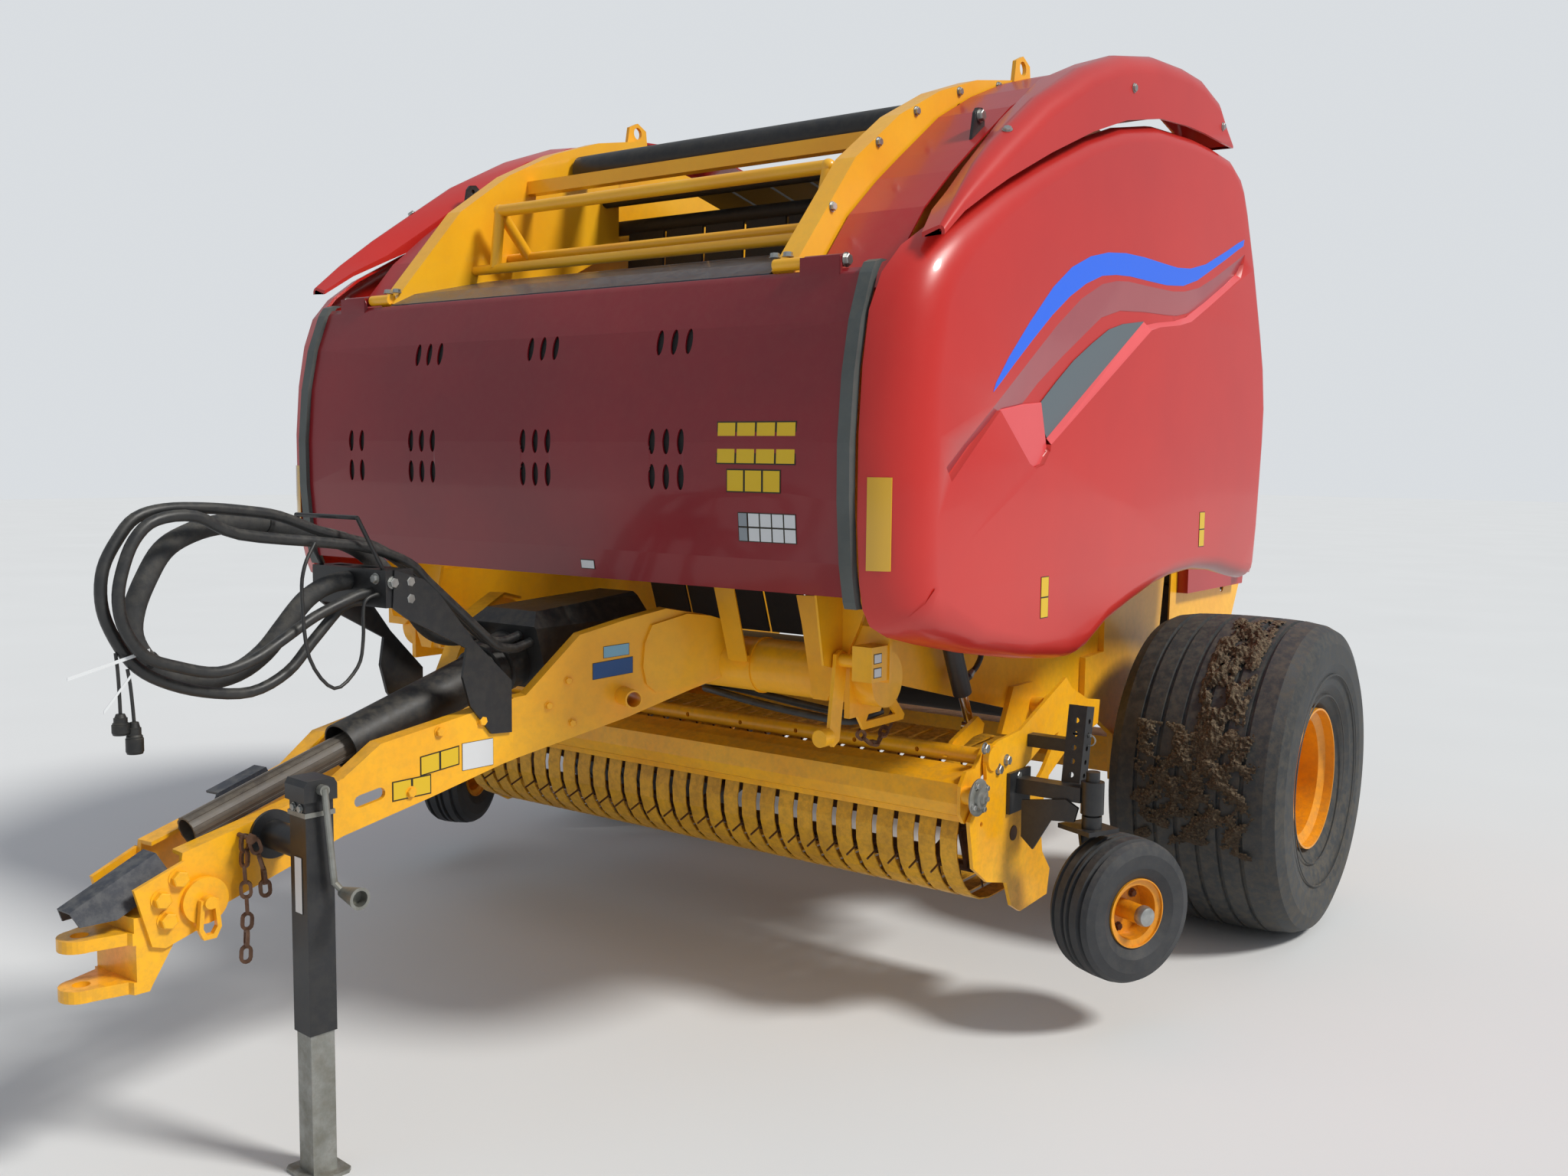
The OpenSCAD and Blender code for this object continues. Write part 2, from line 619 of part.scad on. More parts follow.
// Backing behind the pocket, about 20 mm wider all round
pocket_backing = [
    [-1816, 1465], [-1795, 1500], [-1545, 1665], [-1250, 1860], [-1115, 1936], [-985, 1988], [-815, 2010],
    [-485, 2016], [-280, 2046], [45, 2166], [152, 2202], [150, 2130], [118, 2072], [20, 2032], [-185, 1946],
    [-325, 1893], [-570, 1858], [-620, 1848], [-1240, 1515], [-1285, 1465], [-1345, 1452], [-1395, 1470],
    [-1538, 1585], [-1665, 1490], [-1755, 1420], [-1790, 1432]
];

hinge_x = 1106;
hinge_z = 2318;
hinge_rows = [-900, -300];

module door_shell() {
    color(red) {
        difference() {
            union() {
                pillow(door_edge, shell_t);
                side_plate(pocket_backing, door_x - pocket_depth - shell_t, 20);
            }
            side_plate(door_pocket, door_x - pocket_depth, pocket_depth + 1);
        }
        for (y = hinge_rows) translate([hinge_x, y, hinge_z]) rotate([90, 0, 0]) difference() {
            cylinder(h = 60, d = 36);
            translate([0, 0, -1]) cylinder(h = 62, d = 16 + 2 * pin_gap);
        }
    }
}
module door_arms() {
    for (y = hinge_rows) translate([0, y, 0]) {
        translate([0, 14, 0]) rotate([90, 0, 0]) linear_extrude(12) polygon([[wall_x + seat_gap, 2225],
            [1096, 2225], [1112, 2245], [1114, 2322], [1098, 2322], [1090, 2262], [wall_x + seat_gap,
                2262]]);
        translate([hinge_x, 13, hinge_z]) rotate([90, 0, 0]) cylinder(h = 75, d = 16);
    }
}
module door_left() { place() door_shell(); }
module door_right() { place() mirror([1, 0, 0]) door_shell(); }

// Hood stations: y, lower edge z, crest z, inner edge's x beyond the sheets, its drop below the crest
hood_rows = [
    [-1817, 1985, 2006, 102, 12], [-1730, 2047, 2084, 75, 26], [-1620, 2104, 2172, 50, 52],
    [-1522, 2152, 2242, 35, 52], [-1305, 2247, 2387, 15, 42], [-1065, 2342, 2510, 0, 14],
    [-851, 2412, 2590, 0, 8], [-615, 2461, 2640, 0, 4], [-400, 2480, 2657, 0, 0], [-268, 2484, 2657, 0, 0],
    [-137, 2484, 2628, 0, 0], [-74, 2484, 2577, 0, 0], [-20, 2484, 2500, 0, 0]
];
hood_inner_x = shield_half + 9;
function hood_ring(row) =
    let (y = row[0], z0 = row[1], z1 = row[2], x0 = hood_inner_x + row[3], z2 = z1 - row[4],
        r = min(60, (z1 - z0) * 0.7), t = min(shell_t, r * 0.6),
        g = min(95, (z1 - z0) * 0.8, max(t + 1, z2 - z0 + 2)))
    concat(
        [[door_x, y, z0]],
        [for (a = [0 : 15 : 90]) [door_x - r + r * cos(a), y, z1 - r + r * sin(a)]],
        [[x0, y, z2]],
        [[x0, y, z2 - g]],
        [[x0 + t, y, z2 - g]],
        [[x0 + t, y, z2 - t]],
        [for (a = [90 : -15 : 0]) [door_x - r + (r - t) * cos(a), y, z1 - r + (r - t) * sin(a)]],
        [[door_x - t, y, z0]]
    );
module hoods() {
    place() color(red) both() skin([for (r = hood_rows) hood_ring(r)]);
}

module inner_sheets() {
    place() color(red) both()
        side_plate(strip(sheet_line, sheet_t), sheet_x, hood_inner_x - sheet_x - seat_gap);
}

// Small brackets on the inner sheets for the doors' gas struts
strut_bolt = [-1334, 2354];
module strut_brackets() {
    foot = [for (d = [-38, 26]) [strut_bolt[0] + d, lookup(strut_bolt[0] + d, sheet_line) + seat_gap]];
    top = [for (p = [[26, 12], [12, 22], [-12, 18], [-24, 4]]) strut_bolt + p];
    place() color(black) both() difference() {
        side_plate(concat(foot, top), 936, 8);
        xbar(930, 950, strut_bolt[0], strut_bolt[1], 14);
    }
}

// Main wheels: half profile of the tyre as radius and offset from the tyre's middle
groove_at = [162, 97, 32, -32, -97, -162];
function tread_r(x) = tyre_d / 2 - 9 * pow(x / 222, 2);
tyre_side = [[240, 225], [300, 258], [370, 273], [430, 271], [470, 256], [486, 224]];
tyre_inside = [[236, -196], [300, -236], [370, -249], [430, -244], [458, -205], [464, 0], [458, 205],
    [430, 244],
    [370, 249], [300, 236], [236, 196]];
function tyre_points() = concat(
    [[rim_d / 2 + 0.4, 205]],
    [for (p = tyre_side) [p[0], p[1] * tyre_w / 546]],
    [for (g = groove_at, q = [[7, 0], [5, 9], [-5, 9], [-7, 0]]) [tread_r(g + q[0]) - q[1], g + q[0]]],
    [for (i = [len(tyre_side) - 1 : -1 : 0]) [tyre_side[i][0], -tyre_side[i][1] * tyre_w / 546]],
    [[rim_d / 2 + 0.4, -205]],
    tyre_inside);
rim_points = [[60, 20], [120, 34], [170, 40], [190, 60], [190, 190], [214, 206], [217, 233], [223, 233],
    [223, 200],
    [198, 190], [198, -190], [223, -200], [223, -233], [217, -233], [214, -206], [190, -190], [190, 44],
    [172, 28], [122, 22], [60, 5]];
module at_wheel() { translate([track_half, 0, axle_z]) rotate([0, 90, 0]) children(); }
module main_tyre() { color(rubber) at_wheel() rotate_extrude($fn = 72) polygon(tyre_points()); }
module main_rim() {
    color(yellow) at_wheel() {
        rotate_extrude($fn = 72) polygon([for (p = rim_points) [p[0] > 200 ? p[0] + (rim_d - 446)
            / 2 : p[0], p[1]]]);
        difference() {
            union() {
                translate([0, 0, -90]) cylinder(h = 150, d = 130);
                translate([0, 0, 60]) cylinder(h = 34, d = 92);
            }
            translate([0, 0, -91]) cylinder(h = 132, d = 80 + 2 * pin_gap);
        }
    }
}
module tyre_left() { place() main_tyre(); }
module tyre_right() { place() mirror([1, 0, 0]) main_tyre(); }
module rim_left() { place() main_rim(); }
module rim_right() { place() mirror([1, 0, 0]) main_rim(); }

// Pickup: carried on the frame at its rear, reel and bands between two side plates
reel_y = -1190;
reel_z = 500;
pick_half = 1015;
plate_t = 10;
tube_y = -1318;
tube_z = 724;
tube_d = 44;
pick_pts = [[-1434, 578], [-1407, 451], [-1330, 398], [-1222, 371], [-1190, 300], [-1137, 271], [-975, 280],
    [-960, 350], [-1010, 410], [-1030, 520], [-980, 620], [-840, 690], [-660, 720], [-650, 790],
        [-740, 805],
    [-846, 850], [-885, 885], [-912, 874], [-1160, 775], [-1285, 765], [-1335, 752], [-1352, 715],
        [-1346, 675]];
pick_web = [[-1165, 655], [-1000, 722], [-925, 735], [-1020, 640], [-1080, 600]];
module pickup_frame() {
    x0 = pick_half - plate_t;
    place() color(yellow) {
        both() {
            difference() {
                union() {
                    side_plate(pick_pts, x0, plate_t);
                    xbar(lift_x + 8, x0 + 1, lift_y, lift_z, 70);
                }
                side_plate(pick_web, x0 - 1, plate_t + 2);
                xbar(x0 - 1, pick_half + 1, reel_y, reel_z, 40 + 2 * pin_gap);
                xbar(lift_x, 960, lift_y, lift_z, 50 + 2 * pin_gap);
                for (p = [[-1240, 707], [-1100, 560], [-1370, 560]]) xbar(x0 - 1, pick_half + 1, p[0],
                    p[1], 14);
            }
            xbar(x0 - 1, pick_half + 6, tube_y, tube_z, 64);
            side_plate([[-1345, 715], [-1310, 752], [-1175, 800], [-1140, 775], [-1148, 750],
                [-1200, 748], [-1306, 716]],
                lift_x + 22, 12);
            // Braces behind the side plate
            translate([x0 - 40, -1140, 690]) rotate([-64, 0, 0]) cube([41, 8, 300]);
            translate([x0 - 24, -1010, 372]) cube([25, 8, 130]);
        }
        difference() {
            xbar(-x0 - 1, x0 + 1, tube_y, tube_z, tube_d);
            for (k = [-4 : 4]) translate([k * 200, tube_y - 40, tube_z]) rotate([-90, 0, 0])
                cylinder(h = 40, d = 13);
        }
    }
}

// Stripper bands: an arc over the front of the reel with straight tails above and below
function reel_arc(r, a0, a1, n) = [for (i = [0 : n]) let (a = a0 + (a1 - a0) * i / n)
    [reel_y + r * cos(a), reel_z + r * sin(a)]];
module one_band(x) {
    side_plate(concat([[-935, 702]], reel_arc(band_r, 86, 268, 12), [[-975, 314]],
        [[-975, 318]], reel_arc(band_r - 4, 268, 86, 12), [[-935, 698]]), x - band_w / 2, band_w);
}
module pickup_bands() {
    x0 = pick_half - plate_t - seat_gap;
    place() color(yellow) {
        for (k = [0 : tine_n]) one_band((k - tine_n / 2) * tine_pitch);
        translate([-x0, -960, 674]) cube([2 * x0, 28, 26]);
        translate([-x0, -1003, 316]) cube([2 * x0, 28, 26]);
    }
}

bar_r = 140;
bar_turns = [20, 110, 200, 290];
module tine_reel() {
    half = (tine_n - 1) / 2 * tine_pitch + 10;
    place() translate([0, reel_y, reel_z]) rotate([0, 90, 0]) color(black) {
        translate([0, 0, -pick_half - 2]) cylinder(h = 2 * pick_half + 4, d = 40);
        for (a = bar_turns) rotate([0, 0, a]) {
            translate([bar_r, 0, -half]) cylinder(h = 2 * half, d = 30, $fn = 8);
            for (x = [-half + 40, 33, half - 50]) translate([0, -15, x]) cube([bar_r, 30, 10]);
            for (k = [0 : tine_n - 1]) translate([bar_r + 8, 0, (k - (tine_n - 1) / 2) * tine_pitch])
                rotate([0, 90, 0]) cylinder(h = tine_r - bar_r - 8, d = tine_d, $fn = 6);
        }
    }
}

// Wind guard: a bent sheet with folded edges that swings on the pickup's front tube
guard_out = [[-1392, 562], [-1398, 578], [-1436, 592], [-1450, 624], [-1444, 674], [-1402, 692],
    [-1352, 704]];
guard_in = [[-1352, 699], [-1401, 687], [-1439, 670], [-1445, 625], [-1432, 596], [-1394, 582],
    [-1388, 563]];
guard_end = [[-1456, 600], [-1456, 672], [-1428, 706], [-1384, 706], [-1350, 740], [-1330, 760],
    [-1300, 758],
    [-1282, 735], [-1284, 712], [-1304, 690], [-1350, 680], [-1376, 574], [-1434, 572]];
module windguard() {
    x1 = pick_half - plate_t - side_gap;
    place() color(yellow) {
        side_plate(concat(guard_out, guard_in), -x1 + 9, 2 * x1 - 18);
        both() difference() {
            union() {
                side_plate(guard_end, x1 - 10, 10);
                xbar(x1 - 1, pick_half + 20, -1432, 646, 46);
            }
            xbar(x1 - 20, x1 + 1, tube_y, tube_z, tube_d + 2 * pin_gap);
        }
    }
}

// Gauge wheels on casters
gauge_x = pick_half + 272;
gauge_y = -1107;
gauge_z = 331;
gauge_yaw = 23;
spindle_x = pick_half + 217;
spindle_y = -1175;
module gauge_mounts() {
    place() color(black) both() difference() {
        union() {
            translate([spindle_x, spindle_y, 585]) cylinder(h = 84, d = 60);
            translate([pick_half + seat_gap, spindle_y - 24, 612]) cube([spindle_x - pick_half - 24, 48,
                40]);
            translate([pick_half + seat_gap, spindle_y - 60, 560]) cube([10, 120, 110]);
            // Perforated post that leans back
            translate([pick_half + 116, spindle_y + 18, 606]) rotate([-10, 0, 0]) cube([52, 46, 250]);
            translate([pick_half, 0, 0]) cross_plate([[31, 598], [156, 618], [191, 600], [181, 562],
                [115, 556],
                [65, 470], [31, 500]], spindle_y - 32, 10);
            translate([pick_half + seat_gap, -1120, 724]) cube([118, 34, 34]);
        }
        translate([spindle_x, spindle_y, 500]) cylinder(h = 300, d = 36 + 2 * pin_gap);
        translate([pick_half + 116, spindle_y + 18, 606]) rotate([-10, 0, 0]) {
            translate([6, 6, 8]) cube([40, 60, 250]);
            for (z = [30 : 36 : 230]) translate([26, -1, z]) rotate([-90, 0, 0]) cylinder(h = 20, d = 14);
            for (z = [30 : 36 : 230]) translate([-1, 24, z]) rotate([0, 90, 0]) cylinder(h = 60, d = 14);
        }
    }
}
module at_gauge() { translate([gauge_x, gauge_y, gauge_z]) rotate([0, 0, -gauge_yaw]) children(); }
fork = [[-128, 216], [-128, 204], [-60, 196], [-22, 0], [-22, -14], [-8, -24], [10, -24], [24, -10],
    [24, 8], [-24, 216]];
module caster() {
    color(black) {
        translate([spindle_x, spindle_y, 535]) cylinder(h = 160, d = 36);
        translate([spindle_x, spindle_y, 535]) cylinder(h = 44, d = 52);
        at_gauge() {
            translate([-104, -128, 204]) cube([118, 104, 12]);
            side_plate(fork, -104, 10);
            xbar(-95, 70, 0, 0, 30);
        }
    }
}
module caster_left() { place() caster(); }
module caster_right() { place() mirror([1, 0, 0]) caster(); }
gauge_tyre_pts = [[120, 74], [155, 76], [178, 68], [186, 54], [178, 50], [178, 44], [189, 40], [190, 16],
    [180, 13],
    [180, 7], [190.5, 4]];
module gauge_tyre() {
    outer = [for (p = gauge_tyre_pts) [p[0] * gauge_d / 381, p[1] * gauge_w / 152]];
    color(rubber) at_gauge() rotate([0, 90, 0]) rotate_extrude($fn = 60) polygon(concat(
        [[gauge_rim_d / 2 + 0.4, 60]], outer,
        [for (i = [len(outer) - 1 : -1 : 0]) [outer[i][0], -outer[i][1]]], [[gauge_rim_d / 2 + 0.4, -60]],
        [[97, -50], [150, -62], [172, -50], [172, 50], [150, 62], [97, 50]]));
}
module gauge_rim() {
    color(yellow) at_gauge() rotate([0, 90, 0]) {
        rotate_extrude($fn = 60) polygon([[22, 5], [70, 5], [72, 56], [88, 60], [88, 66], [91, 66],
            [91, 54], [76, 52],
            [76, -52], [91, -54], [91, -66], [88, -66], [86, -58], [70, -52], [70, -2], [22, -2]]);
        difference() {
            translate([0, 0, -60]) cylinder(h = 140, d = 50);
            translate([0, 0, -61]) cylinder(h = 135, d = 30 + 2 * pin_gap);
        }
    }
}
module gauge_tyre_left() { place() gauge_tyre(); }
module gauge_tyre_right() { place() mirror([1, 0, 0]) gauge_tyre(); }
module gauge_rim_left() { place() gauge_rim(); }
module gauge_rim_right() { place() mirror([1, 0, 0]) gauge_rim(); }

// Pickup lift cylinders
lift_len = norm(lift_q - lift_p);
lift_tilt = atan2(lift_q[0] - lift_p[0], lift_q[1] - lift_p[1]);
module on_lift() { translate([lift_x, lift_p[0], lift_p[1]]) rotate([-lift_tilt, 0, 0]) children(); }
module pickup_barrel() {
    place() both() color(black) on_lift() difference() {
        union() {
            rotate([0, 90, 0]) cylinder(h = 36, d = 58, center = true);
            translate([0, 0, 15]) cylinder(h = 272, d = 52);
            translate([0, 0, 262]) rotate([90, 0, 0]) cylinder(h = 44, d = 22);
        }
        rotate([0, 90, 0]) cylinder(h = 60, d = 30 + 2 * pin_gap, center = true);
        translate([0, 0, 45]) cylinder(h = 300, d = 26 + 2 * pin_gap);
    }
}
module pickup_rod() {
    place() both() color(steel) on_lift() difference() {
        union() {
            translate([0, 0, 100]) cylinder(h = lift_len - 118, d = 26);
            translate([0, 0, lift_len]) rotate([0, 90, 0]) cylinder(h = 30, d = 48, center = true);
        }
        translate([0, 0, lift_len]) rotate([0, 90, 0]) cylinder(h = 60, d = 26, center = true);
    }
}

// Tailgate, hinged at its top front
gate_pts = [
    [70, 2450], [140, 2490], [330, 2420], [560, 2300], [900, 2060], [1150, 1750], [1250, 1400],
        [1200, 1000], [1020, 700],
    [760, 560], [450, 560], [450, 900], [460, 1300], [470, 1750], [400, 2120], [240, 2320], [110, 2390]
];
cover_pts = [[520, 1010], [1120, 1010], [1180, 1400], [1080, 1750], [860, 2000], [600, 2050], [520, 2040]];
gate_bars = [[700, 620], [1190, 1400], [600, 2180]];
gate_half = wall_in - side_gap;
module tailgate_frame() {
    place() color(yellow) {
        both() {
            difference() {
                side_plate(gate_pts, gate_half - wall_t, wall_t);
                for (p = [[560, 700], [1000, 1000], [700, 800]]) xbar(gate_half - 20, gate_half + 1, p[0],
                    p[1], 40);
            }
            xbar(gate_half - 2, wall_x + 26, gate_y, gate_z, 40);
            difference() {
                side_plate([[420, 2080], [540, 2080], [540, 2200], [420, 2200]], gate_half - 2, 36);
                xbar(wall_x - 20, wall_x + 40, cyl_q[0], cyl_q[1], 30);
            }
        }
        for (p = gate_bars) xbar(-gate_half + 4, gate_half - 4, p[0], p[1], 80);
    }
}
gate_belt = [[640, 700], [1050, 1000], [1110, 1400], [1000, 1750], [700, 2080], [680, 2080], [985, 1745],
    [1095, 1400], [1040, 1010], [630, 712]];
module tailgate_belts() {
    place() color(black) {
        for (k = [0 : belt_n - 1]) side_plate(gate_belt, (k - belt_n / 2) * belt_step + 7, belt_w);
        for (p = [[1030, 1010], [700, 2060]])
            xbar(-gate_half + wall_t + seat_gap, gate_half - wall_t - seat_gap, p[0], p[1], 50);
    }
}
module tailgate_covers() {
    place() color(red) both() side_plate(cover_pts, gate_half + seat_gap, 40);
}
lamp = [[0, 0], [60, 0], [76, 14], [76, 146], [60, 160], [0, 160]];
module tail_lamps() {
    place() color(red) both() side_plate([for (p = lamp) [1000 + p[0], 1060 + p[1]]],
        gate_half + 40 + 2 * seat_gap, 46);
}
cyl_len = norm(cyl_q - cyl_p);
cyl_tilt = atan2(cyl_q[0] - cyl_p[0], cyl_q[1] - cyl_p[1]);
module on_cyl() { translate([cyl_x, cyl_p[0], cyl_p[1]]) rotate([-cyl_tilt, 0, 0]) children(); }
module gate_barrel() {
    color(black) on_cyl() difference() {
        union() {
            rotate([0, 90, 0]) cylinder(h = 44, d = 76, center = true);
            translate([0, 0, 20]) cylinder(h = 600, d = 70);
        }
        rotate([0, 90, 0]) cylinder(h = 60, d = 36 + 2 * pin_gap, center = true);
        translate([0, 0, 60]) cylinder(h = 600, d = 36 + 2 * pin_gap);
    }
}
module gate_rod() {
    color(steel) on_cyl() difference() {
        union() {
            translate([0, 0, 110]) cylinder(h = cyl_len - 140, d = 36);
            translate([0, 0, cyl_len]) rotate([0, 90, 0]) cylinder(h = 40, d = 70, center = true);
        }
        translate([0, 0, cyl_len]) rotate([0, 90, 0]) cylinder(h = 60, d = 34, center = true);
    }
}
module gate_barrel_left() { place() gate_barrel(); }
module gate_barrel_right() { place() mirror([1, 0, 0]) gate_barrel(); }
module gate_rod_left() { place() gate_rod(); }
module gate_rod_right() { place() mirror([1, 0, 0]) gate_rod(); }

// Hoses and cables: routes as x, y, z, drawn as tubes with ten sides
outer_run = [
    [60, -2072.6, 1040], [60, -2090, 1034.8], [60, -2131, 1028], [58, -2172, 1035], [55, -2205, 1054],
    [52, -2300, 1135], [50, -2410, 1225], [50, -2509, 1284],
    [50, -2644, 1320], [50, -2751, 1359], [50, -2837, 1373], [50, -2927, 1381], [50, -3013, 1381],
    [50, -3074, 1365], [50, -3112, 1324], [50, -3142, 1269], [50, -3148, 1206], [50, -3132, 1148],
    [50, -3091, 1080], [50, -3032, 1037], [50, -2939, 1003], [50, -2831, 989], [50, -2742, 1021],
    [50, -2680, 1079], [50, -2615, 1140], [50, -2595, 1153], [50, -2575, 1160.5], [50, -2555, 1163],
    [50, -2543.3, 1163]
];
inner_run = [
    [96, -2068.2, 1025], [96, -2085, 1020], [96, -2125, 1013], [94, -2166, 1020], [92, -2199, 1039],
    [86, -2290, 1118], [82, -2380, 1195], [80, -2435, 1243], [80, -2540, 1282],
    [80, -2658, 1300], [80, -2868, 1326], [80, -2964, 1366], [80, -3048, 1361], [80, -3094, 1324],
    [80, -3121, 1262], [80, -3130, 1206], [80, -3118, 1149], [80, -3079, 1095], [80, -3012, 1066],
    [80, -2925, 1045], [80, -2842, 1062], [80, -2772, 1097], [80, -2690, 1140], [80, -2600, 1172],
    [80, -2570, 1180], [80, -2552, 1182], [80, -2543.3, 1182]
];
sleeve_run = [
    [-96, -2072.6, 1040], [-96, -2090, 1034.8], [-96, -2141, 1027], [-94, -2203, 1038], [-88, -2257, 1070],
    [-80, -2300, 1116], [-68, -2362, 1182], [-56, -2440, 1250], [-48, -2510, 1288], [-44, -2596, 1310],
    [-42, -2724, 1340], [-34, -2846, 1341], [-22, -2929, 1322], [-10, -2985, 1294],
    [0, -3025, 1245], [0, -3054, 1182], [0, -3060, 1124], [0, -3031, 1070], [0, -2985, 1036],
    [0, -2914, 1018], [0, -2830, 1027], [0, -2765, 1062], [0, -2715, 1112], [0, -2684, 1145],
    [0, -2656, 1170], [0, -2623, 1189], [0, -2587, 1201], [0, -2555, 1205], [0, -2543.3, 1205]
];
cable_run = [
    [112, -2543.3, 1180], [112, -2556, 1180], [112, -2579, 1171], [112, -2588, 1148], [110, -2588, 1081],
    [110, -2604, 1022], [110, -2666, 982], [110, -2728, 1057], [110, -2743, 1192], [106, -2732, 1254],
    [98, -2700, 1302]
];
function tube_dir(p, i) = let (v = p[min(i + 1, len(p) - 1)] - p[max(i - 1, 0)]) v / norm(v);
function tube_ring(p, i, r, n) = let (d = tube_dir(p, i), s0 = cross([1, 0, 0], d), s = s0 / norm(s0),
    u = cross(d, s))
    [for (k = [0 : n - 1]) p[i] + r * (cos(360 / n * k) * s + sin(360 / n * k) * u)];
module tube(p, d, n = 10) { skin([for (i = [0 : len(p) - 1]) tube_ring(p, i, d / 2, n)]); }
module hose_outer() { place() color(rubber) tube(outer_run, 24); }
module hose_inner() { place() color(rubber) tube(inner_run, 24); }
module hose_sleeve() { place() color(rubber) tube(sleeve_run, 44, 12); }
module sensor_cable() { place() color(rubber) tube(cable_run, 8, 8); }
// Thin leads that hang from the outer hose, each with a round plug
lead_top = [[50, -3123, 1103], [50, -3100, 1069]];
plug_top = [[44, -3114, 982], [52, -3091, 964]];
module leads() {
    place() color(rubber) for (k = [0, 1])
        tube([lead_top[k], lead_top[k] * 0.7 + plug_top[k] * 0.3 + [3, 0, 0],
            lead_top[k] * 0.3 + plug_top[k] * 0.7 + [2, 0, 0],
            plug_top[k]], 7, 8);
}
plug_h = [43, 65];
module lead_plugs() {
    place() color(black) for (k = [0, 1]) translate(plug_top[k] - [0, 0, plug_h[k] + seat_gap])
        rotate_extrude()
        polygon([[0, 0], [15, 0], [17, 4], [17, plug_h[k] * 0.5], [13, plug_h[k] * 0.6],
            [13, plug_h[k] * 0.8], [8, plug_h[k]], [0, plug_h[k]]]);
}

main_frame();
chamber_walls();
tongue_beams();
hitch_clevis();
hitch_flaps();
safety_chain();
jack_housing();
jack_leg();
jack_crank();
hose_rack();
gearbox_guard();
driveline_shield();
driveline_tube();
front_shield();
shield_seals();
front_cover();
front_rails();
guard_bars();
front_roller();
forming_belts();
hoods();
inner_sheets();
strut_brackets();
door_left();
door_right();
lever_set();
lever_chain();
tyre_left();
tyre_right();
rim_left();
rim_right();
pickup_frame();
pickup_bands();
tine_reel();
windguard();
gauge_mounts();
caster_left();
caster_right();
gauge_tyre_left();
gauge_tyre_right();
gauge_rim_left();
gauge_rim_right();
pickup_barrel();
pickup_rod();
tailgate_frame();
tailgate_belts();
tailgate_covers();
tail_lamps();
gate_barrel_left();
gate_barrel_right();
gate_rod_left();
gate_rod_right();
hose_outer();
hose_inner();
hose_sleeve();
sensor_cable();
leads();
lead_plugs();
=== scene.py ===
# %% [markdown]
# # A round baler, from bare solids to a finished picture
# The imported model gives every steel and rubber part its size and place.
# This lesson adds what the solids leave out: paint, dirt, bolts, decals, cords and mud.
# Nothing here moves a solid. New pieces are built in the same frame and ride on the same bodies.

# %% Load the frame
import bpy
import math
import bmesh
from mathutils import Matrix, Vector, noise


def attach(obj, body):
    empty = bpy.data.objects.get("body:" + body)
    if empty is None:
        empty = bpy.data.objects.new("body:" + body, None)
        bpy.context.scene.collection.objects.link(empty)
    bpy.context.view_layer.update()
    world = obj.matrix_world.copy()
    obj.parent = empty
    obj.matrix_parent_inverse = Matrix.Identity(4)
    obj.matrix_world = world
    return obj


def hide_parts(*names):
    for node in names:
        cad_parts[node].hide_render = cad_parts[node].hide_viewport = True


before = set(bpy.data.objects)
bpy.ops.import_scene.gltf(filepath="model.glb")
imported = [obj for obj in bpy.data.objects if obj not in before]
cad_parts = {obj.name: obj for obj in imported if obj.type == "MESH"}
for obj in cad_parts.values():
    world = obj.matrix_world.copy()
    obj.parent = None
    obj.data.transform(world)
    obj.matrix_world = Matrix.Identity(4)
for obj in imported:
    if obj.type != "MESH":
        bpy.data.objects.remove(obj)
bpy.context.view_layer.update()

# %% [markdown]
# ## One frame for everything
# A machine like this is drawn in millimetres from its wheel axle, so the lesson does the same.
# One function turns those numbers into the frame's metres.

# %% Millimetres from the axle to metres
AXLE_Y = 990
SIDES = ((1, "left"), (-1, "right"))

def metres(p):
    return Vector((p[0] / 1000, (p[1] + AXLE_Y) / 1000, p[2] / 1000))

print("axle middle:", metres((0, 0, 500)))

# %% [markdown]
# ## The camera
# The photograph was taken from standing height, ahead of the machine's left front corner.
# The view is set by a turn, a dip and a small roll in radians, and by a lens in proportion to the
# picture's width.

# %% Camera
scene = bpy.context.scene
scene.view_settings.view_transform = "Standard"
PHOTO_WIDTH = 2048
FOCAL_PIXELS = 1851.84
SENSOR_MM = 36
EYE = (2720.5, -4558.1, 1499.3)
turn, dip, roll = 0.63397, -0.09282, 0.01059
ahead = Vector((-math.sin(turn) * math.cos(dip), math.cos(turn) * math.cos(dip), math.sin(dip)))
flat_right = Vector((math.cos(turn), math.sin(turn), 0))
flat_up = flat_right.cross(ahead)
right = flat_right * math.cos(roll) + flat_up * math.sin(roll)
up = flat_up * math.cos(roll) - flat_right * math.sin(roll)
lens = bpy.data.cameras.new("view")
lens.sensor_width = SENSOR_MM
lens.lens = SENSOR_MM * FOCAL_PIXELS / PHOTO_WIDTH
lens.clip_end = 200
camera = bpy.data.objects.new("view", lens)
facing = Matrix((right, up, -ahead)).transposed().to_4x4()
camera.matrix_world = Matrix.Translation(metres(EYE)) @ facing
scene.collection.objects.link(camera)
scene.camera = camera
print("lens:", round(lens.lens, 2), "mm")

# %% [markdown]
# ## Building pieces from points
# Most details are one of four shapes: a flat slab, a turned piece, a hose along a path, or a hex head.
# A hose follows a smooth curve through its points, so a few places are enough.
# Each function returns points and faces in millimetres, so several can be joined into one mesh.

# %% Shape helpers
def slab(points, push):
    n = len(points)
    far = [tuple(a + b for a, b in zip(p, push)) for p in points]
    faces = [tuple(range(n))[::-1], tuple(range(n, 2 * n))]
    faces += [(i, (i + 1) % n, n + (i + 1) % n, n + i) for i in range(n)]
    return list(points) + far, faces

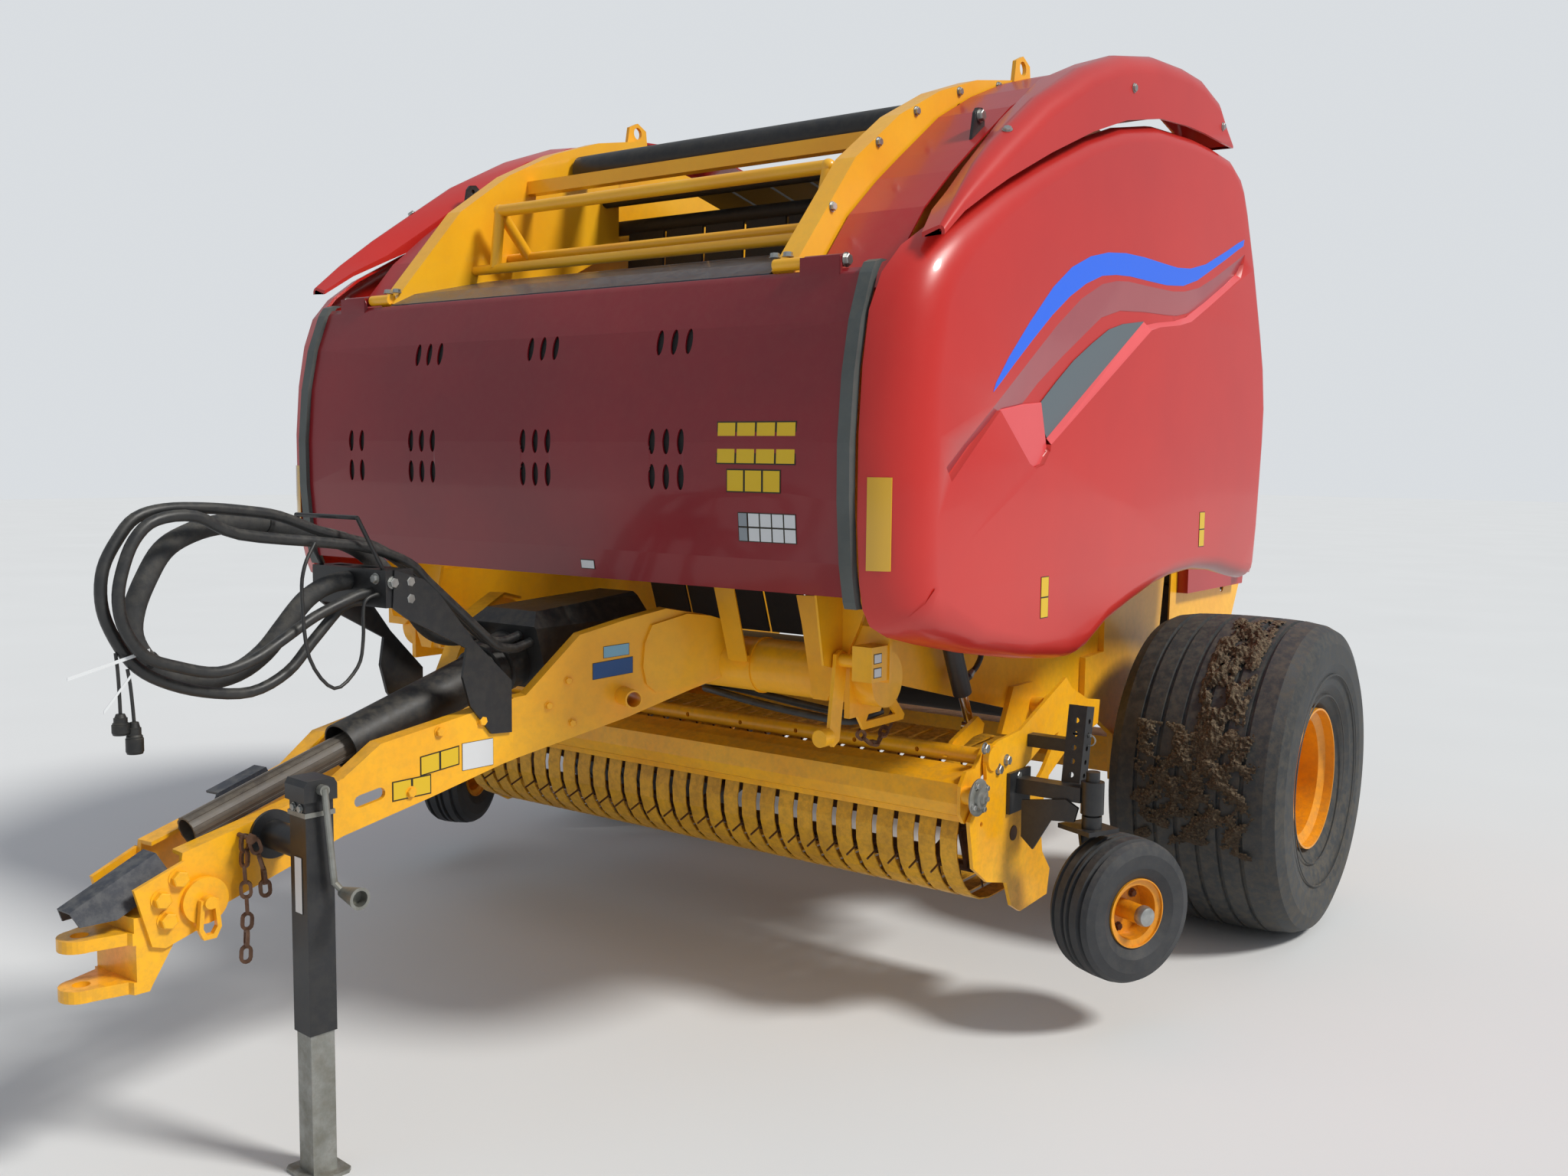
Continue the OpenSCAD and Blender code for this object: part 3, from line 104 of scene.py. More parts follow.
def joined(parts):
    verts, faces = [], []
    for v, f in parts:
        faces += [tuple(i + len(verts) for i in face) for face in f]
        verts += v
    return verts, faces

def frame_of(axis):
    w = Vector(axis).normalized()
    u = w.orthogonal().normalized()
    return u, w.cross(u), w

def turned(profile, centre, axis, steps=24):
    u, v, w = frame_of(axis)
    c = Vector(centre)
    verts, faces = [], []
    for r, h in profile:
        for k in range(steps):
            a = math.tau * k / steps
            verts.append(tuple(c + w * h + (u * math.cos(a) + v * math.sin(a)) * r))
    for i in range(len(profile) - 1):
        for k in range(steps):
            a, b = i * steps + k, i * steps + (k + 1) % steps
            faces.append((a, b, b + steps, a + steps))
    faces.append(tuple(range(steps))[::-1])
    last = (len(profile) - 1) * steps
    faces.append(tuple(range(last, last + steps)))
    return verts, faces

SPLINE_STEPS = 4

def smooth_path(points):
    pts = [Vector(p) for p in points]
    pts = [pts[0] * 2 - pts[1]] + pts + [pts[-1] * 2 - pts[-2]]
    line = []
    for i in range(1, len(pts) - 2):
        a, b, c, d = pts[i - 1:i + 3]
        for k in range(SPLINE_STEPS):
            t = k / SPLINE_STEPS
            square, cube = 2 * a - 5 * b + 4 * c - d, 3 * b - a - 3 * c + d
            line.append(0.5 * (2 * b + (c - a) * t + square * t * t + cube * t ** 3))
    return line + [pts[-2]]

def hose(points, radius, sides=12):
    line = smooth_path(points)
    verts, faces = [], []
    u = None
    for i, p in enumerate(line):
        w = (line[min(i + 1, len(line) - 1)] - line[max(i - 1, 0)]).normalized()
        u = (u - w * u.dot(w)).normalized() if u else w.orthogonal().normalized()
        v = w.cross(u)
        for k in range(sides):
            a = math.tau * k / sides
            verts.append(tuple(p + (u * math.cos(a) + v * math.sin(a)) * radius))
    for i in range(len(line) - 1):
        for k in range(sides):
            a, b = i * sides + k, i * sides + (k + 1) % sides
            faces.append((a, b, b + sides, a + sides))
    last = (len(line) - 1) * sides
    faces += [tuple(range(sides))[::-1], tuple(range(last, last + sides))]
    return verts, faces

WASHER = 1.5

def hex_head(centre, axis, across=24, height=10):
    r = across / math.sqrt(3)
    top = height + WASHER
    flat = turned([(r * 1.25, 0), (r * 1.25, WASHER)], centre, axis, 16)
    profile = [(r, WASHER), (r, height), (r * 0.86, top), (r * 0.4, top)]
    return joined([flat, turned(profile, centre, axis, 6)])

# %% [markdown]
# A piece becomes an object once its points are in metres, it has a finish, and it rides on a body.
# The names of bodies are those of the moving parts, so a decal on a door swings with the door.

# %% Turn points and faces into a riding object
SMOOTH_BELOW = math.radians(35)
made = {}

def piece(name, shape, body, finish, smooth=False, bevel=0.0):
    verts, faces = shape
    mesh = bpy.data.meshes.new(name)
    mesh.from_pydata([metres(v) for v in verts], [], faces)
    mesh.validate()
    if smooth:
        mesh.shade_smooth()
        mesh.set_sharp_from_angle(angle=SMOOTH_BELOW)
    mesh.materials.append(finish)
    obj = bpy.data.objects.new(name, mesh)
    scene.collection.objects.link(obj)
    if bevel:
        edge = obj.modifiers.new("edge", "BEVEL")
        edge.width = bevel / 1000
        edge.segments = 2
        edge.limit_method = "ANGLE"
    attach(obj, body)
    made[name] = len(faces)
    return obj

print("faces of a hex head:", len(hex_head((0, 0, 0), (0, 0, 1))[1]))

# %% [markdown]
# ## Colours and nodes
# Paint makers give colours as sRGB hex. The renderer works in linear light, so one function converts them.
# A second small function adds any node with its settings and links. Materials are written with these two.

# %% Colour and node helpers
def linear(code):
    parts = [int(code[i:i + 2], 16) / 255 for i in (1, 3, 5)]
    return tuple(c / 12.92 if c <= 0.04045 else ((c + 0.055) / 1.055) ** 2.4 for c in parts) + (1.0,)

def add(tree, kind, settings=None, links=None):
    node = tree.nodes.new(kind)
    for key, value in (settings or {}).items():
        if isinstance(key, int) or key in node.inputs:
            node.inputs[key].default_value = value
        else:
            setattr(node, key, value)
    for key, source in (links or {}).items():
        tree.links.new(source, node.inputs[key])
    return node

print("red enamel in linear light:", [round(c, 3) for c in linear("#C8261D")])

# %% [markdown]
# ## A finish with age
# Paint, rubber and plastic on a field machine share one story: a base colour with slow patches,
# a fine grain, dust that settles on faces that look up, and roughness that varies with it.
# Pattern sizes are in millimetres. Grain finer than a millimetre is drawn at about 2 mm so that it shows.

# %% The aged finish
def aged(name, colour, patch, rough, dust="#9A8B6C", dust_share=0.25, patch_mm=420, grain_mm=3,
        grain_depth=0.08, metallic=0.0, ior=1.5, coat=0.0, low_dirt=0.0, speck_mm=26):
    mat = bpy.data.materials.new(name)
    mat.use_nodes = True
    tree = mat.node_tree
    shader = tree.nodes["Principled BSDF"]
    shader.inputs["Metallic"].default_value = metallic
    if not metallic:
        shader.inputs["IOR"].default_value = ior
    shader.inputs["Coat Weight"].default_value = coat
    shader.inputs["Coat Roughness"].default_value = 0.08
    place = add(tree, "ShaderNodeTexCoord").outputs["Object"]
    slow = add(tree, "ShaderNodeTexNoise", {"Scale": 1000 / patch_mm, "Detail": 5.0, "Roughness": 0.6},
        {"Vector": place})
    fine = add(tree, "ShaderNodeTexNoise", {"Scale": 1000 / grain_mm, "Detail": 3.0}, {"Vector": place})
    speck = add(tree, "ShaderNodeTexNoise", {"Scale": 1000 / speck_mm, "Detail": 6.0, "Roughness": 0.7},
        {"Vector": place})
    spread = add(tree, "ShaderNodeMapRange", {1: 0.35, 2: 0.65}, {0: slow.outputs[0]})
    base = add(tree, "ShaderNodeMix", {"data_type": "RGBA", 6: linear(colour), 7: linear(patch)},
        {0: spread.outputs[0]})
    facing = add(tree, "ShaderNodeSeparateXYZ",
        links={0: add(tree, "ShaderNodeNewGeometry").outputs["Normal"]})
    upward = add(tree, "ShaderNodeMapRange", {1: -0.2, 2: 1.0, 3: 0.15, 4: 1.0}, {0: facing.outputs[2]})
    height = add(tree, "ShaderNodeSeparateXYZ", links={0: place})
    low = add(tree, "ShaderNodeMapRange", {1: 1.1, 2: 0.1, 3: 0.0, 4: low_dirt}, {0: height.outputs[2]})
    settle = add(tree, "ShaderNodeMath", {"operation": "MULTIPLY_ADD", 1: dust_share},
        {0: upward.outputs[0], 2: low.outputs[0]})
    broken = add(tree, "ShaderNodeMapRange", {1: 0.42, 2: 0.62}, {0: speck.outputs[0]})
    amount = add(tree, "ShaderNodeMath", {"operation": "MULTIPLY", "use_clamp": True},
        {0: settle.outputs[0], 1: broken.outputs[0]})
    cover = add(tree, "ShaderNodeMix", {"data_type": "RGBA", 7: linear(dust)},
        {0: amount.outputs[0], 6: base.outputs[2]})
    tree.links.new(cover.outputs[2], shader.inputs["Base Color"])
    gloss = add(tree, "ShaderNodeMath", {"operation": "MULTIPLY_ADD", 1: 0.45, 2: rough},
        {0: amount.outputs[0]})
    tree.links.new(gloss.outputs[0], shader.inputs["Roughness"])
    bump = add(tree, "ShaderNodeBump", {"Strength": grain_depth, "Distance": 0.001},
        {"Height": fine.outputs[0]})
    tree.links.new(bump.outputs[0], shader.inputs["Normal"])
    mat.diffuse_color = linear(colour)
    return mat

# %% [markdown]
# ## The paints
# The moulded doors wear a sprayed red enamel with a clear gloss: the eye sees soft highlights. Pressed red
# sheet is the same enamel, a little drier. Frame steel is yellow enamel, sprayed thick and dusty. Black
# parts are satin enamel. The cover sheet behind the shield is a dark navy enamel.

# %% Enamels
red_moulded = aged("red_enamel_on_moulded_door", "#C8261D", "#BC201C", 0.32, dust_share=0.02, patch_mm=900,
    grain_mm=6, grain_depth=0.02, coat=0.25, low_dirt=0.03)
red_sheet = aged("red_enamel_on_pressed_sheet", "#B51D20", "#A3181D", 0.36, dust_share=0.05, patch_mm=700,
    coat=0.2, grain_depth=0.03)
# Painted shade: the shield wears the same red enamel as doors and sheets, darkened because its front lies in
# shade.
shield_red_painted_shade = aged("red_enamel_with_painted_shade_on_front_shield", "#8A111C", "#780E1B", 0.32, dust_share=0.04, patch_mm=800,
    coat=0.3, grain_depth=0.02)
yellow = aged("yellow_enamel_on_steel", "#FFBC18", "#F5AB14", 0.36, dust="#8F7444", dust_share=0.2,
    patch_mm=300, coat=0.15, low_dirt=0.25)
yellow_rail = aged("yellow_enamel_on_clean_rails", "#FFC022", "#F8B01C", 0.34, dust="#A08A58",
    dust_share=0.12, patch_mm=400, coat=0.2)
yellow_pickup = aged("yellow_enamel_on_worn_pickup", "#EDB022", "#D49A18", 0.42, dust="#6E5630",
    dust_share=0.35, patch_mm=140, low_dirt=0.35, speck_mm=18)
rim_yellow = aged("yellow_enamel_on_rims", "#F3A417", "#E39310", 0.36, dust="#7C5A2C", dust_share=0.15,
    patch_mm=160, coat=0.15, low_dirt=0.25)
black_steel = aged("black_satin_enamel_on_steel", "#26272A", "#1D1E20", 0.38, dust="#77705F",
    dust_share=0.18, grain_depth=0.05)
navy_sheet = aged("navy_enamel_on_cover_sheet", "#2B3140", "#232936", 0.34, dust="#8B8A85", dust_share=0.22,
    coat=0.2)
print("enamels:", sum("enamel" in m.name for m in bpy.data.materials))

# %% [markdown]
# ## Rubber, plastic and bare metal
# Carbon-black rubber is never pure black: tread rubber is grey-brown with dry earth, sidewalls are greyer.
# Guards are moulded polyethylene with a matt skin. Bolts and plates are zinc plated, chains have rusted,
# and cylinder rods are hard chrome.

# %% Rubber, plastic, metals
tyre_rubber = aged("carbon_black_tyre_rubber", "#363A3D", "#2B2E30", 0.62, dust="#6A6152", dust_share=0.4,
    patch_mm=260, low_dirt=0.35, grain_mm=5, grain_depth=0.25, ior=1.52)
small_tyre = aged("black_gauge_tyre_rubber", "#35373A", "#2B2D30", 0.62, dust="#6E6A60", dust_share=0.3,
    patch_mm=120, grain_depth=0.15, ior=1.52)
seal_rubber = aged("extruded_seal_rubber", "#565C5B", "#4A504F", 0.5, dust="#7C7768", dust_share=0.25,
    patch_mm=200, ior=1.52)
belt_rubber = aged("ribbed_forming_belt_rubber", "#1D1D1D", "#151515", 0.6, dust="#5E5444", dust_share=0.3,
    patch_mm=160, grain_mm=6, grain_depth=0.4, ior=1.52)
hose_rubber = aged("smooth_hydraulic_hose_rubber", "#2B2C2D", "#202122", 0.42, dust="#6F6B60",
    dust_share=0.3, patch_mm=120, ior=1.52)
guard_plastic = aged("moulded_polyethylene_guard", "#232425", "#191A1B", 0.48, dust="#6C6557",
    dust_share=0.3, patch_mm=180, grain_mm=4, grain_depth=0.12, ior=1.51)
shaft_plastic = aged("grey_polyethylene_shaft_guard", "#5A544C", "#463F38", 0.5, dust="#8A8170",
    dust_share=0.25, patch_mm=240, ior=1.51)
flap_rubber = aged("dusty_flap_rubber", "#31353F", "#262A33", 0.4, dust="#8C8B86", dust_share=0.3,
    patch_mm=90, ior=1.52)
zinc = aged("zinc_plated_steel", "#B9BBB8", "#9A9C9A", 0.36, dust="#7D7467", dust_share=0.2, patch_mm=40,
    metallic=0.85, grain_mm=2)
galvanised = aged("weathered_galvanised_steel", "#A3A4A0", "#85867F", 0.48, dust="#7A7262", dust_share=0.3,
    patch_mm=60, metallic=0.7, low_dirt=0.2)
rusty = aged("rusted_chain_steel", "#7A5A45", "#5B3A28", 0.6, dust="#A08D78", dust_share=0.3, patch_mm=30,
    metallic=0.4, grain_mm=2, grain_depth=0.4, speck_mm=10)
wire_steel = aged("worn_spring_steel_tines", "#6E5240", "#4A3429", 0.5, dust="#8A7A62", dust_share=0.2,
    patch_mm=50, metallic=0.6)
chrome = aged("hard_chrome_on_rods", "#D2D4D6", "#C4C6C8", 0.14, dust="#8A8272", dust_share=0.08,
    metallic=1.0, grain_depth=0.01)
mud = aged("dried_earth_and_chaff", "#3F3122", "#281F16", 0.92, dust="#A8977A", dust_share=0.6, patch_mm=60,
    speck_mm=7, grain_mm=4, grain_depth=1.0)
print("bare metals:", [m.name for m in (zinc, galvanised, rusty, wire_steel, chrome)])

# %% [markdown]
# ## Vinyl and lenses
# Decals are printed vinyl: even colour, a light gloss and a thin edge. Reflectors and lamp lenses are clear
# coloured acrylic over a prism back, so they look deeper and smoother than paint.

# %% Vinyl, acrylic, mesh
def plain(name, colour, rough, ior=1.46, coat=0.0):
    return aged(name, colour, colour, rough, dust_share=0.05, grain_depth=0.02, ior=ior, coat=coat)

blue_vinyl = plain("blue_stripe_vinyl", "#2B6BEE", 0.3)
yellow_vinyl = plain("yellow_decal_vinyl", "#DFB922", 0.35)
white_vinyl = plain("white_decal_vinyl", "#D6D9DC", 0.35)
grey_vinyl = plain("grey_decal_vinyl", "#8F979E", 0.35)
navy_vinyl = plain("navy_decal_vinyl", "#1F4C86", 0.35)
sky_vinyl = plain("pale_blue_decal_vinyl", "#7FB0C8", 0.35)
ink = plain("black_decal_border", "#2A2618", 0.4)
reflector = plain("amber_acrylic_reflector", "#D6A418", 0.12, ior=1.49, coat=0.8)
red_lens = plain("red_acrylic_lens", "#B3120F", 0.1, ior=1.49, coat=0.8)
strap_white = plain("white_nylon_tie", "#DDE0E2", 0.45)
# Painted shade: the pocket wall is the door's red enamel, darkened because the wall lies in shade.
pocket_red_painted_shade = aged("red_enamel_with_painted_shade_in_door_pocket", "#A6454C", "#9C3D46", 0.35, dust_share=0.03, coat=0.3)
# Painted highlight: the ledge, sill and chin are the door's red enamel, lightened because they catch the
# light.
ledge_red_painted_highlight = aged("red_enamel_with_painted_highlight_on_pocket_ledge", "#E8575A", "#E04F52", 0.3, dust_share=0.02, coat=0.5)
mesh_grey = bpy.data.materials.new("woven_grille_in_pocket")
mesh_grey.use_nodes = True
weave_tree = mesh_grey.node_tree
weave_shader = weave_tree.nodes["Principled BSDF"]
weave_shader.inputs["Roughness"].default_value = 0.5
weave_place = add(weave_tree, "ShaderNodeTexCoord").outputs["Object"]
# Holes a few millimetres apart would blur, so they are drawn 10 mm apart and show
HOLE_PITCH_MM = 10
holes = add(weave_tree, "ShaderNodeTexVoronoi", {"Scale": 1000 / HOLE_PITCH_MM, "Randomness": 0.0},
    {"Vector": weave_place})
depth = add(weave_tree, "ShaderNodeMapRange", {1: 0.25, 2: 0.5}, {0: holes.outputs["Distance"]})
weave_mix = add(weave_tree, "ShaderNodeMix",
    {"data_type": "RGBA", 6: linear("#3E464B"), 7: linear("#5F6A70")}, {0: depth.outputs[0]})
weave_tree.links.new(weave_mix.outputs[2], weave_shader.inputs["Base Color"])
weave_bump = add(weave_tree, "ShaderNodeBump", {"Strength": 0.5, "Distance": 0.002},
    {"Height": depth.outputs[0]})
weave_tree.links.new(weave_bump.outputs[0], weave_shader.inputs["Normal"])
print("materials:", len(bpy.data.materials))

# %% [markdown]
# ## Cords first
# Two hydraulic hoses and a sleeved bundle leave the gearbox guard, arch over the rack and hang in a loop,
# then return to the rack. A thin sensor cable hangs from the rack to the sleeve. A spline through a few
# places gives a smooth hose without kinks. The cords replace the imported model's plain tubes and lie there.

# %% Hoses, sleeve and cable
outer_run = [
    (60, -2072.6, 1040), (60, -2090, 1034.8), (60, -2131, 1028), (58, -2172, 1035), (55, -2205, 1054),
    (52, -2300, 1135), (50, -2410, 1225), (50, -2509, 1284), (50, -2644, 1320), (50, -2751, 1359),
    (50, -2837, 1373), (50, -2927, 1381), (50, -3013, 1381), (50, -3074, 1365), (50, -3112, 1324),
    (50, -3142, 1269), (50, -3148, 1206), (50, -3132, 1148), (50, -3091, 1080), (50, -3032, 1037),
    (50, -2939, 1003), (50, -2831, 989), (50, -2742, 1021), (50, -2680, 1079), (50, -2615, 1140),
    (50, -2595, 1153), (50, -2575, 1160.5), (50, -2555, 1163), (50, -2543.3, 1163)]
inner_run = [
    (96, -2068.2, 1025), (96, -2085, 1020), (96, -2125, 1013), (94, -2166, 1020), (92, -2199, 1039),
    (86, -2290, 1118), (82, -2380, 1195), (80, -2435, 1243), (80, -2540, 1282), (80, -2658, 1300),
    (80, -2868, 1326), (80, -2964, 1366), (80, -3048, 1361), (80, -3094, 1324), (80, -3121, 1262),
    (80, -3130, 1206), (80, -3118, 1149), (80, -3079, 1095), (80, -3012, 1066), (80, -2925, 1045),
    (80, -2842, 1062), (80, -2772, 1097), (80, -2690, 1140), (80, -2600, 1172), (80, -2570, 1180),
    (80, -2552, 1182), (80, -2543.3, 1182)]
sleeve_run = [
    (-96, -2072.6, 1040), (-96, -2090, 1034.8), (-96, -2141, 1027), (-94, -2203, 1038), (-88, -2257, 1070),
    (-80, -2300, 1116), (-68, -2362, 1182), (-56, -2440, 1250), (-48, -2510, 1288), (-44, -2596, 1310),
    (-42, -2724, 1340), (-34, -2846, 1341), (-22, -2929, 1322), (-10, -2985, 1294), (0, -3025, 1245),
    (0, -3054, 1182), (0, -3060, 1124), (0, -3031, 1070), (0, -2985, 1036), (0, -2914, 1018),
    (0, -2830, 1027), (0, -2765, 1062), (0, -2715, 1112), (0, -2684, 1145), (0, -2656, 1170),
    (0, -2623, 1189), (0, -2587, 1201), (0, -2555, 1205), (0, -2543.3, 1205)]
cable_run = [
    (112, -2543.3, 1180), (112, -2556, 1180), (112, -2579, 1171), (112, -2588, 1148), (110, -2588, 1081),
    (110, -2604, 1022), (110, -2666, 982), (110, -2728, 1057), (110, -2743, 1192), (106, -2732, 1254),
    (98, -2700, 1302)]

def cord(name, run, diameter, node, finish):
    obj = piece(name, hose(run, diameter / 2, 14), "chassis", finish, smooth=True)
    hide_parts(node)
    return obj

cord("cord_outer_hose", outer_run, 24, "hose_outer", hose_rubber)
cord("cord_inner_hose", inner_run, 24, "hose_inner", hose_rubber)
sleeve_cloth = aged("braided_nylon_hose_sleeve", "#3A3B3C", "#28292A", 0.75, dust="#7C766A",
    dust_share=0.35, patch_mm=80, grain_mm=7, grain_depth=0.6)
cord("cord_sleeve", sleeve_run, 44, "hose_sleeve", sleeve_cloth)
cord("cord_sensor_cable", cable_run, 8, "sensor_cable", hose_rubber)

# %% [markdown]
# Two thin leads hang from the loop and end in round plugs. Each plug has a knurled collar and a dust cap,
# so it is turned from one profile.

# %% Leads, plugs and ties
lead_top = [(50, -3123, 1103), (50, -3100, 1069)]
plug_top = [(44, -3114, 982), (52, -3091, 964)]
plug_height = [43, 65]
for k in (0, 1):
    a, b, h = Vector(lead_top[k]), Vector(plug_top[k]), plug_height[k]
    run = [a, a * 0.7 + b * 0.3 + Vector((3, 0, 0)), a * 0.3 + b * 0.7 + Vector((2, 0, 0)), b]
    base = b - Vector((0, 0, h + 0.3))
    profile = [(12, 0), (15, 0.5), (16, 4), (17, 5), (17, h * 0.48), (15.5, h * 0.5), (15.5, h * 0.55),
        (13, h * 0.6), (13, h * 0.8), (11, h * 0.82), (8.5, h * 0.98), (4, h)]
    plug = piece(f"lead_plug_{k}", turned(profile, base, (0, 0, 1), 28), "chassis", guard_plastic,
        smooth=True)
    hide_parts("lead_plugs")
    cord(f"cord_lead_{k}", run, 7, "leads", hose_rubber)

TIE_RADIUS = 23
TIE_HALF = 5

def open_ring(inner, outer, half, centre, axis):
    profile = [(inner, -half), (outer, -half), (outer, half), (inner, half)]
    verts, faces = turned(profile, centre, axis, 20)
    return verts, faces[:-2]

def tie(name, centre, axis):
    ring = open_ring(TIE_RADIUS, TIE_RADIUS + 2, TIE_HALF, centre, axis)
    piece(name, ring, "chassis", guard_plastic, smooth=True)

tie("tie_on_sleeve_top", (-42, -2724, 1340), (0.05, -1, 0.15))
tie("tie_on_sleeve_loop", (0, -3031, 1070), (0, 0.66, -0.75))
print("cord pieces:", [n for n in made if "cord" in n])

# %% [markdown]
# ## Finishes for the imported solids
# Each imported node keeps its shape. Only the material in its slot is exchanged for the real finish.

# %% Assign finishes to nodes
finish_of = {
    red_moulded: "door_left door_right hoods",
    red_sheet: "inner_sheets tailgate_covers",
    shield_red_painted_shade: "front_shield",
    yellow: "main_frame chamber_walls tongue_beams hitch_clevis pickup_frame tailgate_frame "
            "lever_set windguard",
    yellow_rail: "front_rails guard_bars",
    yellow_pickup: "pickup_bands",
    rim_yellow: "rim_left rim_right gauge_rim_left gauge_rim_right",
    black_steel: "jack_housing hose_rack gauge_mounts caster_left caster_right pickup_barrel "
                 "gate_barrel_left gate_barrel_right strut_brackets front_roller",
    guard_plastic: "gearbox_guard driveline_shield",
    shaft_plastic: "driveline_tube",
    navy_sheet: "front_cover",
    flap_rubber: "hitch_flaps",
    seal_rubber: "shield_seals",
    belt_rubber: "forming_belts tailgate_belts",
    tyre_rubber: "tyre_left tyre_right",
    small_tyre: "gauge_tyre_left gauge_tyre_right",
    galvanised: "jack_leg jack_crank",
    wire_steel: "tine_reel",
    rusty: "safety_chain lever_chain",
    chrome: "pickup_rod gate_rod_left gate_rod_right",
    red_lens: "tail_lamps",
}
for finish, names in finish_of.items():
    for name in names.split():
        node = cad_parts[name]
        node.data.materials.clear()
        node.data.materials.append(finish)
cord_nodes = {"hose_outer", "hose_inner", "hose_sleeve", "sensor_cable", "leads", "lead_plugs"}
left_out = set(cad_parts) - {n for names in finish_of.values() for n in names.split()} - cord_nodes
print("nodes still without a finish:", sorted(left_out))

# %% [markdown]
# The doors, hoods and shield are curved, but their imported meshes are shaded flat. Each gets a twin with
# the same points, welded, with smooth shading up to 35 degrees, so that real corners stay crisp. The twin
# replaces the node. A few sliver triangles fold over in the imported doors' large flat faces and show black.
# The twins' flat faces are filled anew from their rims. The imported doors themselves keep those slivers.

# %% Smooth twins of the curved panels
DOOR_X = 1130
DOOR_SHELL = 8
WELD = 1e-5
ON_PLANE = 2e-5
FACES_OUT = 0.999

def refill_flat(bm, x):
    flat = set()
    for f in bm.faces:
        if abs(f.normal.x) > FACES_OUT and all(abs(v.co.x - x) < ON_PLANE for v in f.verts):
            flat.add(f)
    rim = [e for e in bm.edges if sum(f in flat for f in e.link_faces) == 1]
    bmesh.ops.delete(bm, geom=list(flat), context="FACES_ONLY")
    bmesh.ops.triangle_fill(bm, edges=rim, use_beauty=True)
    bmesh.ops.delete(bm, geom=[e for e in bm.edges if not e.link_faces], context="EDGES")
    bmesh.ops.recalc_face_normals(bm, faces=bm.faces)

def smooth_twin(node_name, body, finish, flat_planes=()):
    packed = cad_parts[node_name].data
    mesh = bpy.data.meshes.new(f"{node_name}_smooth")
    bm = bmesh.new()
    bm.from_mesh(packed)
    bmesh.ops.remove_doubles(bm, verts=bm.verts, dist=WELD)
    bmesh.ops.dissolve_degenerate(bm, edges=bm.edges, dist=WELD / 10)
    for x in flat_planes:
        refill_flat(bm, x)
    bm.to_mesh(mesh)
    bm.free()
    mesh.materials.clear()
    mesh.materials.append(finish)
    mesh.shade_smooth()
    mesh.set_sharp_from_angle(angle=SMOOTH_BELOW)
    twin = bpy.data.objects.new(f"{node_name}_smooth", mesh)
    scene.collection.objects.link(twin)
    weigh = twin.modifiers.new("weigh", "WEIGHTED_NORMAL")
    weigh.keep_sharp = True
    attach(twin, body)
    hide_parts(node_name)
    made[twin.name] = len(mesh.polygons)

for side, name in SIDES:
    planes = (side * DOOR_X / 1000, side * (DOOR_X - DOOR_SHELL) / 1000)
    smooth_twin(f"door_{name}", f"side_door_{name}", red_moulded, planes)
smooth_twin("hoods", "chassis", red_moulded)
smooth_twin("front_shield", "shield", shield_red_painted_shade)
print("smooth panels:", [n for n in made if n.endswith("_smooth")])

# %% [markdown]
# ## The side doors
# Each door is one big moulding with a wavy pocket pressed into it. Inside the pocket a slanted wall lies
# in shade, and its red is darkened as painted shade. A grille fills the deepest part, and a lower ledge
# catches the light; the ledge, sill and chin are a lighter red as a painted highlight.
# The pocket's lining is a strip of faces between two lines: one on the door's face, one on its floor.

# %% Pocket lining, grille and ledge
FLOOR_X = 1113
wall_top = [(-1788, 1478), (-1710, 1530), (-1540, 1640), (-1370, 1753), (-1245, 1835), (-1110, 1912),
    (-980, 1963), (-890, 1980), (-810, 1987), (-645, 1989), (-485, 1992), (-390, 2001), (-275, 2023),
    (-137, 2069), (50, 2141), (130, 2172)]
wall_foot = [(-1765, 1452), (-1660, 1528), (-1500, 1614), (-1400, 1630), (-1313, 1687), (-1183, 1758),
    (-1045, 1828), (-944, 1879), (-821, 1908), (-655, 1919), (-477, 1925), (-400, 1930), (-307, 1946),
    (-180, 1985), (-20, 2050), (112, 2116)]
ledge_top = [(-633, 1868), (-560, 1882), (-418, 1899), (-325, 1917), (-190, 1971), (15, 2056), (100, 2092)]
ledge_in = [(-645, 1882), (-560, 1896), (-424, 1912), (-333, 1930), (-198, 1982), (5, 2066), (96, 2104)]
grille_edge = [(-1328, 1620), (-1284, 1648), (-1206, 1698), (-1112, 1754), (-999, 1807), (-895, 1851),
    (-802, 1873), (-655, 1892), (-1258, 1552)]

chin_edge = [(-1538, 1612), (-1378, 1487), (-1345, 1475), (-1300, 1484), (-1264, 1528), (-1300, 1640),
    (-1400, 1632)]
sill_in = [(-1258, 1552), (-655, 1892)]
sill_top = [(-1262, 1535), (-633, 1868)]
stripe_top = [(-1577, 1653), (-1565, 1675), (-1503, 1739), (-1398, 1830), (-1275, 1926), (-1171, 1986),
    (-1060, 2026), (-950, 2049), (-833, 2061), (-702, 2065), (-562, 2064), (-453, 2064), (-349, 2073),
    (-223, 2100), (-41, 2162), (60, 2199), (118, 2217)]
stripe_low = [(-1577, 1653), (-1540, 1678), (-1478, 1722), (-1380, 1789), (-1278, 1856), (-1178, 1912),
    (-1085, 1953), (-985, 1984), (-895, 1996), (-800, 2002), (-672, 2003), (-533, 2005), (-405, 2016),
    (-291, 2044), (-194, 2080), (-52, 2133), (60, 2177), (112, 2196)]

def on_plane(x, outline):
    return [(x, y, z) for y, z in outline]

def strip_between(high, low, x_high, x_low, side):
    n = len(high)
    verts = [(side * x_high, y, z) for y, z in high] + [(side * x_low, y, z) for y, z in low]
    back = [(x - side * 2, y, z) for x, y, z in verts]
    faces = [(i, i + 1, n + i + 1, n + i) for i in range(n - 1)]
    faces += [tuple(2 * n + i for i in f)[::-1] for f in faces]
    return verts + back, faces

